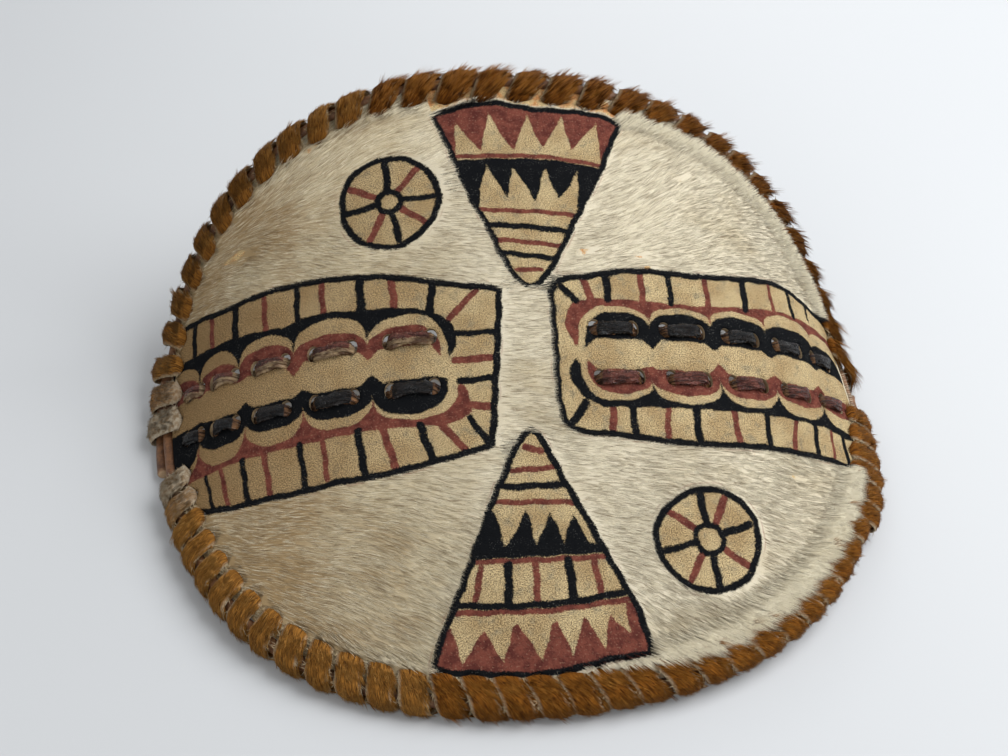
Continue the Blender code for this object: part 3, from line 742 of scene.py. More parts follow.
# Small places where the hair is gone: u, v and radius in millimetres.
NICKS = ((37.5, 61, 2), (41, 62.5, 1.3), (68.5, 59, 1.6), (73, 52.5, 1.6), (-14, 44.6, 1.2),
         (119, -54.6, 1.3), (-121, -88.5, 1.3), (-74, -108.5, 0.9), (101.5, 113.5, 1.6),
         (-153.5, 93.5, 2.6), (-158, 92, 2.2), (-162.5, 91.6, 2), (-108, 145, 1.9), (-104.5, 147, 1.3),
         (143, -66, 1.5))


@dataclass(frozen=True)
class Row:
    """A row of windows that one thong is threaded through, seen as heights on the flat hide."""

    node: str
    height: float


@dataclass
class Openings:
    """The lacing holes near the edge and the slots for the thongs."""

    shell: Shell
    hole_radius: float = 0.0032
    hole_edge_distance: float = 0.0074
    hole_sides: int = 18
    slot_length: float = 0.0068
    slot_height: float = 0.0094
    slot_sides: int = 22
    leftmost_slot: float = -0.1930
    windows_per_side: int = 5
    left: tuple[float, float, float] = (0.0586, 0.0192, 0.36)
    right: tuple[float, float, float] = (0.0494, 0.0294, 0.14)
    window_share: float = 0.27
    dimple: float = 0.0005
    rows: tuple[Row, Row] = (Row("upper_thong", 0.0160), Row("lower_thong", -0.0124))

    def side_windows(self, sense: float) -> list[tuple[float, float]]:
        """Return the middle and slot reach of each window on one side, from the middle outwards."""
        first, last_to_edge, closing = self.left if sense < 0.0 else self.right
        edge = float(self.shell.outline_radius(np.array(180.0 if sense < 0.0 else 0.0)))
        share = np.linspace(0.0, 1.0, self.windows_per_side)
        places = first + (edge - last_to_edge - first) * (share + closing * share * (1.0 - share))
        windows = []
        for index, place in enumerate(places):
            inner = places[max(index - 1, 0)]
            outer = places[min(index + 1, self.windows_per_side - 1)]
            spacing = (outer - inner) / (2.0 if 0 < index < self.windows_per_side - 1 else 1.0)
            windows.append((sense * place, self.window_share * spacing))
        return windows

    def windows(self) -> list[tuple[float, float]]:
        """Return every window's middle and slot reach, from left to right."""
        return sorted(self.side_windows(-1.0)) + self.side_windows(1.0)

    def hole_centres(self, degrees: Array) -> Array:
        """Return lacing holes' middles on the flat hide."""
        rim = Rim(self.shell, degrees)
        return rim.flat - self.shell.flat_way(rim.flat, rim.out) * self.hole_edge_distance

    def hole_loops(self, degrees: Array) -> list[Array]:
        """Return the outline of each lacing hole on the flat hide."""
        rim = Rim(self.shell, degrees)
        centres = self.hole_centres(degrees)
        loops = np.empty((len(degrees), self.hole_sides, 2))
        for side, turn in enumerate(round_turns(self.hole_sides)):
            way = rim.along * math.cos(turn) - rim.out * math.sin(turn)
            loops[:, side] = centres + self.shell.flat_way(centres, way) * self.hole_radius
        return list(loops)

    def slot_loops(self) -> list[Array]:
        """Return the outline of each slot, an upright rounded oblong."""
        turns = round_turns(self.slot_sides)
        across = squared(np.cos(turns), 0.95) * self.slot_length / 2.0
        upward = squared(np.sin(turns), 0.95) * self.slot_height / 2.0
        loops = []
        for row in self.rows:
            for middle, reach in self.windows():
                for end in (-reach, reach):
                    place = max(middle + end, self.leftmost_slot)
                    loops.append(np.stack([place + across, row.height + upward], -1))
        return loops

    def relief(self, flat: Array) -> Array:
        """Return the hide's low unevenness, and its puckers in the windows."""
        u, v = flat[:, 0], flat[:, 1]
        waves = 0.0005 * np.sin(u * 41.0 + 1.3) * np.sin(v * 37.0 + 0.4)
        waves = waves + 0.0003 * np.sin(u * 93.0 - v * 71.0)
        pull = np.zeros(len(flat))
        for row in self.rows:
            for middle, reach in self.windows():
                gap = np.hypot((u - middle) / (reach * 2.1), (v - row.height) / 0.0105)
                pull -= self.dimple * np.exp(-gap ** 2)
        return waves + pull


class Fur(Enum):
    """The two kinds of hair-on strip, by the record's material slots."""

    GOLDEN = "golden_hair_strip"
    RED_BROWN = "red_brown_hair_strip"


@dataclass(frozen=True)
class Strip:
    """One lacing strip, by the directions of its first and last holes."""

    node: str
    fur: Fur
    first_deg: float
    last_deg: float
    pitch: float
    breadth: float
    lay_deg: float
    hair_length: float
    loose_share: float
    hairs_a_turn: int
    slope: float = 1.0


STRIPS = (
    Strip("lacing_upper_left", Fur.GOLDEN, 180.0, 118.0, pitch=0.0196, breadth=0.82, lay_deg=16.0,
          hair_length=0.0062, loose_share=0.03, hairs_a_turn=1750),
    Strip("lacing_upper_right", Fur.RED_BROWN, 112.5, 9.0, pitch=0.0196, breadth=0.80, lay_deg=34.0,
          hair_length=0.0092, loose_share=0.28, hairs_a_turn=1650, slope=1.12),
    Strip("lacing_lower_left", Fur.GOLDEN, 190.5, 247.0, pitch=0.0160, breadth=0.89, lay_deg=16.0,
          hair_length=0.0062, loose_share=0.05, hairs_a_turn=1600),
    Strip("lacing_lower_right", Fur.RED_BROWN, 251.7, 355.0, pitch=0.0160, breadth=0.93, lay_deg=30.0,
          hair_length=0.0064, loose_share=0.05, hairs_a_turn=1500, slope=1.30),
)


def strip_holes(shell: Shell, strip: Strip) -> Array:
    """Return the directions of a strip's holes, evenly spaced along the rim."""
    directions = np.linspace(strip.first_deg, strip.last_deg, 241)
    run = run_along(shell.bend(shell.outline(directions)))
    turns = max(2, round(float(run[-1]) / strip.pitch))
    return np.interp(run[-1] * np.arange(turns + 1) / turns, run, directions)


@dataclass(frozen=True)
class Rod:
    """One rod of the hoop, from its butt to its tip."""

    node: str
    butt_deg: float
    tip_deg: float
    out_from_deg: float
    out_to_deg: float
    end_length: float
    end_rise: float
    butt_radius: float = 0.0034
    tip_radius: float = 0.0026
    fit_gap: float = 0.0005

    def near(self, degrees: Array) -> Array:
        """Return directions in the turn that the rod counts in."""
        middle = (self.butt_deg + self.tip_deg) / 2.0
        return (degrees - middle + 180.0) % 360.0 - 180.0 + middle

    def covers(self, degrees: Array) -> Array:
        """Say where the rod is there."""
        low, high = sorted((self.butt_deg, self.tip_deg))
        return (self.near(degrees) >= low) & (self.near(degrees) <= high)

    def radius(self, degrees: Array) -> Array:
        """Return the rod's radius in each direction."""
        share = (self.near(degrees) - self.butt_deg) / (self.tip_deg - self.butt_deg)
        return self.butt_radius + (self.tip_radius - self.butt_radius) * np.clip(share, 0.0, 1.0)

    def rank(self, degrees: Array) -> Array:
        """Return 0 where the rod lies on the hide's edge, and 1 where it lies outside the other rod."""
        return ease((self.near(degrees) - self.out_from_deg) / (self.out_to_deg - self.out_from_deg))

    def offset(self, degrees: Array) -> Array:
        """Return how far the rod's middle lies outside the hide's edge."""
        step_out = 2.0 * self.butt_radius + self.fit_gap
        return self.radius(degrees) + self.fit_gap + self.rank(degrees) * step_out


RODS = (
    Rod("upper_rod", 184.0, -14.0, out_from_deg=166.5, out_to_deg=172.0,
        end_length=0.0090, end_rise=0.0),
    Rod("lower_rod", 175.0, 361.0, out_from_deg=337.5, out_to_deg=343.0,
        end_length=0.0080, end_rise=0.0030),
)


class NodeSheet:
    """A node tree being wired, for a material or for a group."""

    def __init__(self, tree: Tree) -> None:
        self.tree = tree

    def add(self, kind: str, **settings: object) -> Node:
        """Add a node and set its properties."""
        node = self.tree.nodes.new(kind)
        for name, value in settings.items():
            setattr(node, name, value)
        return node

    def feed(self, socket: Socket, value: object) -> None:
        """Link a socket, or set its value."""
        if isinstance(value, Socket):
            self.tree.links.new(value, socket)
        elif isinstance(value, tuple) and socket.type == "RGBA":
            socket.default_value = (*value, 1.0)
        else:
            socket.default_value = value

    def maths(self, operation: str, *values: object, clamp: bool = False) -> Socket:
        """Return a Math node's result."""
        node = self.add("ShaderNodeMath", operation=operation, use_clamp=clamp)
        for socket, value in zip(node.inputs, values):
            self.feed(socket, value)
        return node.outputs[0]

    def times(self, first: object, second: object) -> Socket:
        """Return two numbers multiplied."""
        return self.maths("MULTIPLY", first, second)

    def plus(self, first: object, second: object, clamp: bool = False) -> Socket:
        """Return two numbers added."""
        return self.maths("ADD", first, second, clamp=clamp)

    def spread(self, value: object, low: float, high: float, to_low: float = 0.0,
               to_high: float = 1.0) -> Socket:
        """Return a value eased from one range into another."""
        node = self.add("ShaderNodeMapRange", interpolation_type="SMOOTHSTEP")
        for name, item in (("Value", value), ("From Min", low), ("From Max", high), ("To Min", to_low),
                           ("To Max", to_high)):
            self.feed(node.inputs[name], item)
        return node.outputs["Result"]

    def mix(self, share: object, first: object, second: object, mode: str = "MIX") -> Socket:
        """Return two colours mixed."""
        node = self.add("ShaderNodeMix", data_type="RGBA", blend_type=mode)
        self.feed(node.inputs[0], share)
        self.feed(node.inputs[6], first)
        self.feed(node.inputs[7], second)
        return node.outputs[2]

    def noise(self, vector: object, scale: float, detail: float = 3.0, roughness: float = 0.55,
              distortion: float = 0.0) -> Socket:
        """Return a noise from 0 to 1."""
        node = self.add("ShaderNodeTexNoise")
        for name, item in (("Vector", vector), ("Scale", scale), ("Detail", detail),
                           ("Roughness", roughness), ("Distortion", distortion)):
            self.feed(node.inputs[name], item)
        return node.outputs["Fac"]

    def number(self, name: str) -> Socket:
        """Read a named number of the mesh."""
        return self.add("ShaderNodeAttribute", attribute_name=name).outputs["Fac"]

    def flat(self) -> Socket:
        """Read the flat place on the hide."""
        return self.add("ShaderNodeUVMap", uv_map="flat").outputs["UV"]

    def place(self) -> Socket:
        """Read the place in the row frame."""
        return self.add("ShaderNodeTexCoord").outputs["Object"]

    def stretched(self, vector: Socket, scale: tuple[float, float, float],
                  turn_deg: float = 0.0) -> Socket:
        """Return places turned about Z and stretched."""
        node = self.add("ShaderNodeMapping")
        self.feed(node.inputs["Vector"], vector)
        node.inputs["Rotation"].default_value = (0.0, 0.0, math.radians(turn_deg))
        node.inputs["Scale"].default_value = scale
        return node.outputs["Vector"]

    def apart(self, vector: Socket) -> bpy.types.bpy_prop_collection:
        """Return a vector's three parts."""
        node = self.add("ShaderNodeSeparateXYZ")
        self.feed(node.inputs[0], vector)
        return node.outputs

    def bump(self, height: Socket, strength: float, distance: float) -> Socket:
        """Return a normal raised by a height."""
        node = self.add("ShaderNodeBump")
        self.feed(node.inputs["Height"], height)
        node.inputs["Strength"].default_value = strength
        node.inputs["Distance"].default_value = distance
        return node.outputs["Normal"]

    def group(self, tree: Tree, **inputs: object) -> Node:
        """Place a group with its own values; an underscore in a name stands for a space."""
        node = self.add("ShaderNodeGroup")
        node.node_tree = tree
        for name, value in inputs.items():
            self.feed(node.inputs[name.replace("_", " ")], value)
        return node


def new_material(name: str, roughness: float,
                 specular: float) -> tuple[Material, NodeSheet, Node]:
    """Start a material.

    Args:
        name: The material's name.
        roughness: Set on the shader.
        specular: Level of the plain gloss.

    Returns:
        The material, its node sheet and its Principled shader.
    """
    material = bpy.data.materials.new(name)
    material.use_nodes = True
    shader = material.node_tree.nodes["Principled BSDF"]
    shader.inputs["Roughness"].default_value = roughness
    shader.inputs["Specular IOR Level"].default_value = specular
    return material, NodeSheet(material.node_tree), shader


def new_group(name: str, inputs: tuple[tuple[str, str, object], ...],
              outputs: tuple[tuple[str, str], ...]) -> tuple[NodeSheet, Node, Node]:
    """Start a shader node group with named sockets.

    Args:
        name: The group's name.
        inputs: Name, kind and first value of each input.
        outputs: Name and kind of each output.

    Returns:
        The group's node sheet, its input node and its output node.
    """
    tree = bpy.data.node_groups.new(name, "ShaderNodeTree")
    for title, kind, value in inputs:
        socket = tree.interface.new_socket(title, in_out="INPUT", socket_type="NodeSocket" + kind)
        if value is not None:
            socket.default_value = (*value, 1.0) if kind == "Color" else value
    for title, kind in outputs:
        tree.interface.new_socket(title, in_out="OUTPUT", socket_type="NodeSocket" + kind)
    sheet = NodeSheet(tree)
    return sheet, sheet.add("NodeGroupInput"), sheet.add("NodeGroupOutput")


@dataclass(frozen=True)
class PaintColours:
    """The colours of the painted patterns, and of the clipped ground under them."""

    tan: Colour = (0.43, 0.335, 0.195)
    tan_deep: Colour = (0.32, 0.228, 0.122)
    tan_grey: Colour = (0.23, 0.195, 0.132)
    tan_brown: Colour = (0.23, 0.145, 0.070)
    maroon: Colour = (0.170, 0.052, 0.036)
    maroon_dark: Colour = (0.088, 0.025, 0.020)
    maroon_worn: Colour = (0.285, 0.150, 0.100)
    black: Colour = (0.0062, 0.0068, 0.0078)
    black_worn: Colour = (0.095, 0.094, 0.086)
    bare_skin: Colour = (0.50, 0.370, 0.195)
    bare_ochre: Colour = (0.46, 0.215, 0.085)
    sketch: Colour = (0.34, 0.20, 0.14)

    def mask_group(self) -> Tree:
        """Build the group that turns a distance into a ragged-edged mask."""
        sheet, given, made = new_group(
            "ragged_edge",
            (("Vector", "Vector", None), ("Distance", "Float", 0.0), ("Ragged", "Float", 1.2)),
            (("Mask", "Float"),))
        coarse = sheet.noise(given.outputs["Vector"], 420.0, 2.0)
        fine = sheet.noise(sheet.stretched(given.outputs["Vector"], (1.0, 1.9, 1.0), 15.0), 1500.0, 2.0)
        waver = sheet.plus(sheet.times(coarse, 0.30), sheet.times(fine, 0.70))
        off = sheet.times(sheet.maths("SUBTRACT", waver, 0.5), given.outputs["Ragged"])
        moved = sheet.plus(given.outputs["Distance"], off)
        sheet.feed(made.inputs["Mask"], sheet.spread(moved, 0.22, -0.22))
        return sheet.tree

    def paint_group(self, mask: Tree) -> Tree:
        """Build the group that lays the tan ground and both paints over a base colour."""
        sheet, given, made = new_group(
            "painted_pattern",
            (("Vector", "Vector", None), ("Base", "Color", (0.5, 0.45, 0.33)), ("Clipped", "Float", 9.0),
             ("Red", "Float", 9.0), ("Black", "Float", 9.0), ("Bare", "Float", 9.0)),
            (("Color", "Color"), ("Ink", "Float"), ("Clip", "Float"), ("Grain", "Float")))
        vector = given.outputs["Vector"]
        broad = sheet.noise(vector, 38.0, 3.0, 0.6)
        spots = sheet.noise(vector, 165.0, 3.0, 0.6)
        grain = sheet.noise(sheet.stretched(vector, (0.8, 1.0, 1.0), 8.0), 1950.0, 2.0, 0.7)
        ground = sheet.mix(sheet.spread(broad, 0.36, 0.66), self.tan, self.tan_deep)
        ground = sheet.mix(sheet.spread(spots, 0.50, 0.72, 0.0, 0.75), ground, self.tan_grey)
        leftness = sheet.spread(sheet.apart(vector)[0], 0.0, -0.195, 0.0, 0.92)
        ground = sheet.mix(leftness, ground, self.tan_brown)
        speckle = sheet.mix(sheet.spread(grain, 0.36, 0.64), (0.03, 0.03, 0.03), (0.98, 0.97, 0.88))
        ground = sheet.mix(0.70, ground, speckle, "OVERLAY")
        red = sheet.mix(sheet.spread(spots, 0.35, 0.68), self.maroon, self.maroon_dark)
        red = sheet.mix(sheet.spread(sheet.noise(vector, 900.0, 2.0), 0.56, 0.74, 0.0, 0.75), red,
                        self.maroon_worn)
        worn = sheet.times(sheet.spread(sheet.noise(vector, 1250.0, 2.0), 0.57, 0.72),
                           sheet.spread(spots, 0.42, 0.66))
        black = sheet.mix(worn, self.black, self.black_worn)

        def mask_of(distance: Socket, ragged: float) -> Socket:
            """Return the ragged-edged mask of a distance."""
            return sheet.group(mask, Vector=vector, Distance=distance, Ragged=ragged).outputs[0]

        sketched = sheet.maths("ABSOLUTE", sheet.maths("SUBTRACT", given.outputs["Clipped"], 2.6))
        sketched = mask_of(sheet.maths("SUBTRACT", sketched, 0.35), 1.6)
        faint = sheet.spread(sheet.noise(vector, 46.0, 2.0), 0.50, 0.62, 0.0, 0.55)
        sketched = sheet.times(sketched, faint)
        clip = mask_of(given.outputs["Clipped"], 3.4)
        painted_red = mask_of(given.outputs["Red"], 3.8)
        painted_black = mask_of(given.outputs["Black"], 4.6)
        bare = mask_of(given.outputs["Bare"], 3.0)
        colour = sheet.mix(sketched, given.outputs["Base"], self.sketch)
        skin = sheet.mix(sheet.spread(spots, 0.40, 0.62), self.bare_skin, self.bare_ochre)
        colour = sheet.mix(bare, colour, sheet.mix(0.6, skin, speckle, "OVERLAY"))
        colour = sheet.mix(clip, colour, ground)
        colour = sheet.mix(painted_red, colour, red)
        colour = sheet.mix(painted_black, colour, black)
        sheet.feed(made.inputs["Color"], colour)
        sheet.feed(made.inputs["Ink"], sheet.maths("MAXIMUM", painted_red, painted_black))
        sheet.feed(made.inputs["Clip"], sheet.maths("MAXIMUM", clip, bare))
        sheet.feed(made.inputs["Grain"], grain)
        return sheet.tree


@dataclass(frozen=True)
class CoatColours:
    """The long hair: pale over most of the hide, browner to the left and in streaks."""

    pale: Colour = (0.85, 0.785, 0.61)
    cream: Colour = (0.65, 0.565, 0.385)
    fawn: Colour = (0.40, 0.285, 0.145)
    shade: Colour = (0.21, 0.145, 0.078)
    # The colour of the painted shade near the hair's roots.
    root: Colour = (0.27, 0.20, 0.115)
    brown_side: tuple[float, float] = (0.03, -0.17)

    def tone_group(self) -> Tree:
        """Build the group that gives the hide's hair its broad colours, from its flat place."""
        sheet, given, made = new_group(
            "coat_tone", (("Vector", "Vector", None), ("Tone", "Float", 0.5)), (("Color", "Color"),))
        vector = given.outputs["Vector"]
        parts = sheet.apart(vector)
        leftness = sheet.spread(parts[0], *self.brown_side)
        lowness = sheet.spread(parts[1], 0.02, -0.13)
        streaks = sheet.noise(sheet.stretched(vector, (0.35, 1.0, 1.0), 6.0), 60.0, 3.0, 0.6)
        clouds = sheet.noise(vector, 17.0, 3.0, 0.6)
        browner = sheet.plus(sheet.times(leftness, 0.72),
                              sheet.times(sheet.spread(clouds, 0.42, 0.66), 0.25))
        low_left = sheet.times(leftness, lowness)
        browner = sheet.plus(browner, sheet.times(low_left, 0.28))
        browner = sheet.plus(browner, sheet.spread(streaks, 0.40, 0.66, -0.06, 0.12), clamp=True)
        base = sheet.mix(sheet.spread(browner, 0.0, 0.55), self.pale, self.cream)
        base = sheet.mix(sheet.spread(browner, 0.45, 1.0), base, self.fawn)
        base = sheet.mix(sheet.spread(given.outputs["Tone"], 0.55, 1.0, 0.0, 0.80), base, self.shade)
        base = sheet.mix(sheet.spread(given.outputs["Tone"], 0.35, 0.0, 0.0, 0.65), base, self.pale)
        sheet.feed(made.inputs["Color"], base)
        return sheet.tree


@dataclass(frozen=True)
class BareColours:
    """The colours of what is neither painted nor hairy: flesh side, thongs, rods, cut and worn skin, with
    painted shade and highlights.
    """

    flesh: Colour = (0.42, 0.325, 0.205)
    flesh_dark: Colour = (0.26, 0.175, 0.098)
    flesh_fibre: Colour = (0.56, 0.475, 0.34)
    flesh_stain: Colour = (0.145, 0.085, 0.045)
    thong: Colour = (0.215, 0.105, 0.045)
    # Painted shade in the grooves of the twist, on the raw thong.
    thong_groove_shade: Colour = (0.030, 0.013, 0.008)
    # Painted highlight specks on the raw thong.
    thong_painted_highlight: Colour = (0.40, 0.28, 0.165)
    pale_thong: Colour = (0.34, 0.235, 0.130)
    # Painted shade in the grooves of the twist, on the pale thong.
    pale_thong_groove_shade: Colour = (0.095, 0.048, 0.024)
    # A multiplier over the thong's paint: none on the ridges, painted shade in the grooves.
    paint_ridge: Colour = (1.0, 1.0, 1.0)
    paint_groove_shade: Colour = (0.30, 0.26, 0.24)
    wood: Colour = (0.21, 0.095, 0.040)
    wood_dark: Colour = (0.080, 0.032, 0.014)
    wood_scraped: Colour = (0.36, 0.22, 0.12)
    wood_cut: Colour = (0.42, 0.28, 0.16)
    strip_cut: Colour = (0.50, 0.44, 0.32)
    strip_cut_dark: Colour = (0.30, 0.215, 0.125)
    bleached: Colour = (0.46, 0.40, 0.30)
    bleached_dark: Colour = (0.24, 0.175, 0.105)
    # Painted shade, multiplied over the lacing towards the far, raised edge.
    far_edge_shade: Colour = (0.36, 0.28, 0.16)
    frayed: Colour = (0.46, 0.36, 0.22)


@dataclass(frozen=True)
class FurColours:
    """The colours of a lacing strip's hair: in the middle, dark, also the painted shade at its roots, and
    light, also at its tips.
    """

    name: str
    middle: Colour
    dark: Colour
    light: Colour


BARE = BareColours()
FURS = {
    Fur.GOLDEN: FurColours("golden", (0.305, 0.133, 0.025), (0.068, 0.026, 0.006), (0.57, 0.310, 0.085)),
    Fur.RED_BROWN: FurColours("red_brown", (0.220, 0.079, 0.0095), (0.045, 0.0135, 0.0025),
                              (0.45, 0.205, 0.040)),
}


class Finishes:
    """Every material, built once."""

    def __init__(self) -> None:
        paints = PaintColours()
        self.paint = paints.paint_group(paints.mask_group())
        self.coat_colours = CoatColours()
        self.tone = self.coat_colours.tone_group()
        self.hide = self.hide_finish()
        self.coat = self.coat_finish()
        self.bristle = self.bristle_finish()
        self.thong = self.thong_finish()
        self.rod = self.rod_finish()
        self.skins = {fur: self.strip_finish(colours) for fur, colours in FURS.items()}
        self.hairs = {fur: self.hair_finish(colours) for fur, colours in FURS.items()}

    def painted(self, sheet: NodeSheet, base: object) -> Node:
        """Lay the patterns over a base colour, from the numbers of the mesh."""
        return sheet.group(self.paint, Vector=sheet.flat(), Base=base, Clipped=sheet.number("clipped"),
                           Red=sheet.number("red"), Black=sheet.number("black"), Bare=sheet.number("bare"))

    def hide_finish(self) -> Material:
        """Make the hide itself: painted front, cut edges and bare flesh side."""
        material, sheet, shader = new_material("painted_hide", 0.9, 0.03)
        flat = sheet.flat()
        tone = sheet.group(self.tone, Vector=flat, Tone=0.75).outputs[0]
        painted = self.painted(sheet, tone)
        clouds = sheet.noise(flat, 24.0, 5.0, 0.65)
        fibres = sheet.noise(sheet.stretched(flat, (1.0, 0.4, 1.0), 35.0), 420.0, 4.0, 0.65)
        flesh = sheet.mix(sheet.spread(clouds, 0.36, 0.66), BARE.flesh, BARE.flesh_dark)
        flesh = sheet.mix(sheet.spread(fibres, 0.52, 0.74, 0.0, 0.55), flesh, BARE.flesh_fibre)
        stains = sheet.spread(sheet.noise(flat, 9.0, 4.0, 0.7, 0.6), 0.55, 0.70, 0.0, 0.6)
        flesh = sheet.mix(stains, flesh, BARE.flesh_stain)
        inside = sheet.spread(sheet.number("flesh"), 0.25, 0.75)
        sheet.feed(shader.inputs["Base Color"], sheet.mix(inside, painted.outputs["Color"], flesh))
        fur = sheet.noise(sheet.stretched(flat, (0.25, 1.0, 1.0), 10.0), 1400.0, 2.0)
        height = sheet.plus(sheet.times(painted.outputs["Grain"], 0.6),
                             sheet.times(fur, 0.5))
        height = sheet.plus(height, sheet.times(fibres, 0.7))
        sheet.feed(shader.inputs["Normal"], sheet.bump(height, 0.55, 0.0005))
        return material

    def coat_finish(self) -> Material:
        """Make the long hair of the hide, with painted shade towards its roots."""
        material, sheet, shader = new_material("hide_coat", 0.6, 0.18)
        tone = sheet.group(self.tone, Vector=sheet.flat(), Tone=sheet.number("tone")).outputs[0]
        # Painted shade towards the hair's roots.
        root = sheet.spread(sheet.number("along"), 0.50, 0.0, 0.0, 0.45)
        painted = self.painted(sheet, sheet.mix(root, tone, self.coat_colours.root))
        sheet.feed(shader.inputs["Base Color"], painted.outputs["Color"])
        return material

    def bristle_finish(self) -> Material:
        """Make the clipped hair, coloured by the paint on it."""
        material, sheet, shader = new_material("clipped_hair", 0.85, 0.03)
        painted = self.painted(sheet, (0.5, 0.45, 0.33))
        tone = sheet.spread(sheet.number("tone"), 0.0, 1.0, 0.60, 1.40)
        shade = sheet.add("ShaderNodeCombineXYZ")
        for socket in shade.inputs:
            sheet.feed(socket, tone)
        sheet.feed(shader.inputs["Base Color"],
                   sheet.mix(1.0, painted.outputs["Color"], shade.outputs[0], "MULTIPLY"))
        return material

    def thong_finish(self) -> Material:
        """Make the twisted thongs: dark rawhide with painted shade and highlights, and paint where the
        front shows.
        """
        material, sheet, shader = new_material("twisted_thong", 0.27, 0.34)
        flat = sheet.flat()
        twist = sheet.noise(sheet.stretched(flat, (0.22, 1.0, 1.0), 14.0), 620.0, 4.0, 0.65, 0.4)
        fine = sheet.noise(sheet.stretched(flat, (0.4, 1.0, 1.0), 10.0), 1500.0, 3.0, 0.6)
        # Painted shade: the twist's grooves are darkened.
        groove_shade = sheet.spread(twist, 0.40, 0.60)
        raw = sheet.mix(groove_shade, BARE.thong, BARE.thong_groove_shade)
        # Painted highlight: fine light specks over the raw thong.
        raw = sheet.mix(sheet.spread(fine, 0.58, 0.74, 0.0, 0.5), raw, BARE.thong_painted_highlight)
        pale = sheet.mix(groove_shade, BARE.pale_thong, BARE.pale_thong_groove_shade)
        raw = sheet.mix(sheet.number("pale"), raw, pale)
        painted = self.painted(sheet, raw)
        rubbed = sheet.spread(fine, 0.52, 0.70, 0.0, 0.8)
        wear = sheet.maths("MAXIMUM", sheet.spread(twist, 0.47, 0.62), rubbed)
        ink = sheet.times(painted.outputs["Ink"], sheet.spread(wear, 0.0, 1.0, 1.0, 0.84))
        front = sheet.times(ink, sheet.number("front"))
        # Painted shade on the paint in the twist's grooves.
        shaded = sheet.mix(sheet.spread(twist, 0.42, 0.60), BARE.paint_ridge, BARE.paint_groove_shade)
        shaded = sheet.mix(1.0, painted.outputs["Color"], shaded, "MULTIPLY")
        sheet.feed(shader.inputs["Base Color"], sheet.mix(front, raw, shaded))
        height = sheet.plus(twist, sheet.times(fine, 0.4))
        sheet.feed(shader.inputs["Normal"], sheet.bump(height, 1.0, 0.0042))
        return material

    def rod_finish(self) -> Material:
        """Make the peeled rods, smoke-brown with a fine grain."""
        material, sheet, shader = new_material("peeled_rod", 0.5, 0.35)
        place = sheet.place()
        grain = sheet.noise(place, 260.0, 5.0, 0.65, 0.4)
        fine = sheet.noise(place, 1400.0, 3.0)
        colour = sheet.mix(sheet.spread(grain, 0.35, 0.68), BARE.wood, BARE.wood_dark)
        colour = sheet.mix(sheet.spread(fine, 0.55, 0.80, 0.0, 0.5), colour, BARE.wood_scraped)
        cut = sheet.number("cut")
        sheet.feed(shader.inputs["Base Color"], sheet.mix(cut, colour, BARE.wood_cut))
        sheet.feed(shader.inputs["Normal"], sheet.bump(sheet.plus(grain, fine), 0.4, 0.0006))
        return material

    @staticmethod
    def worn(sheet: NodeSheet, colour: object) -> Socket:
        """Bleach a strip where its hair is worn off at the left lap, and paint shade on it towards the far,
        raised edge.
        """
        fine = sheet.noise(sheet.place(), 420.0, 3.0, 0.6)
        bleached = sheet.mix(sheet.spread(fine, 0.35, 0.65), BARE.bleached, BARE.bleached_dark)
        # Painted shade: the strips grow darker towards the far, raised edge of the shield.
        high = sheet.spread(sheet.apart(sheet.place())[1], 0.03, 0.13, 0.0, 0.55)
        with_far_shade = sheet.mix(high, colour, sheet.mix(1.0, colour, BARE.far_edge_shade, "MULTIPLY"))
        return sheet.mix(sheet.number("worn"), with_far_shade, bleached)

    def strip_finish(self, fur: FurColours) -> Material:
        """Make the skin of a lacing strip: streaked with its hair, and pale where it is cut."""
        material, sheet, shader = new_material(fur.name + "_strip_skin", 0.75, 0.05)
        mottle = sheet.noise(sheet.place(), 150.0, 4.0, 0.6)
        fine = sheet.noise(sheet.place(), 1100.0, 3.0, 0.6)
        streaks = sheet.noise(sheet.stretched(sheet.flat(), (0.09, 1.0, 1.0)), 1900.0, 3.0, 0.6, 0.2)
        colour = sheet.mix(sheet.spread(streaks, 0.60, 0.36), fur.middle, fur.dark)
        colour = sheet.mix(sheet.spread(streaks, 0.60, 0.78, 0.0, 0.6), colour, fur.light)
        pale = sheet.mix(sheet.spread(fine, 0.35, 0.7), BARE.strip_cut_dark, BARE.strip_cut)
        cut = sheet.times(sheet.number("edge"), sheet.spread(mottle, 0.25, 0.5, 0.45, 1.0))
        sheet.feed(shader.inputs["Base Color"], self.worn(sheet, sheet.mix(cut, colour, pale)))
        sheet.feed(shader.inputs["Normal"], sheet.bump(sheet.plus(streaks, fine), 0.7, 0.0010))
        return material

    def hair_finish(self, fur: FurColours) -> Material:
        """Make the hair of a lacing strip, lighter at its tips and with painted shade towards its roots."""
        material, sheet, shader = new_material(fur.name + "_hair", 0.55, 0.07)
        tone = sheet.number("tone")
        patch = sheet.noise(sheet.place(), 45.0, 3.0, 0.6)
        colour = sheet.mix(sheet.spread(tone, 0.55, 0.05), fur.middle, fur.dark)
        colour = sheet.mix(sheet.spread(tone, 0.72, 1.0, 0.0, 0.9), colour, fur.light)
        colour = sheet.mix(sheet.spread(patch, 0.50, 0.68, 0.0, 0.35), colour, fur.light)
        tip = sheet.spread(sheet.number("along"), 0.4, 1.0, 0.0, 0.30)
        # Painted shade towards the hair's roots.
        root = sheet.spread(sheet.number("along"), 0.45, 0.0, 0.0, 0.5)
        colour = sheet.mix(tip, sheet.mix(root, colour, fur.dark), fur.light)
        colour = sheet.mix(sheet.spread(tone, 1.1, 1.2), colour, BARE.frayed)
        sheet.feed(shader.inputs["Base Color"], self.worn(sheet, colour))
        return material


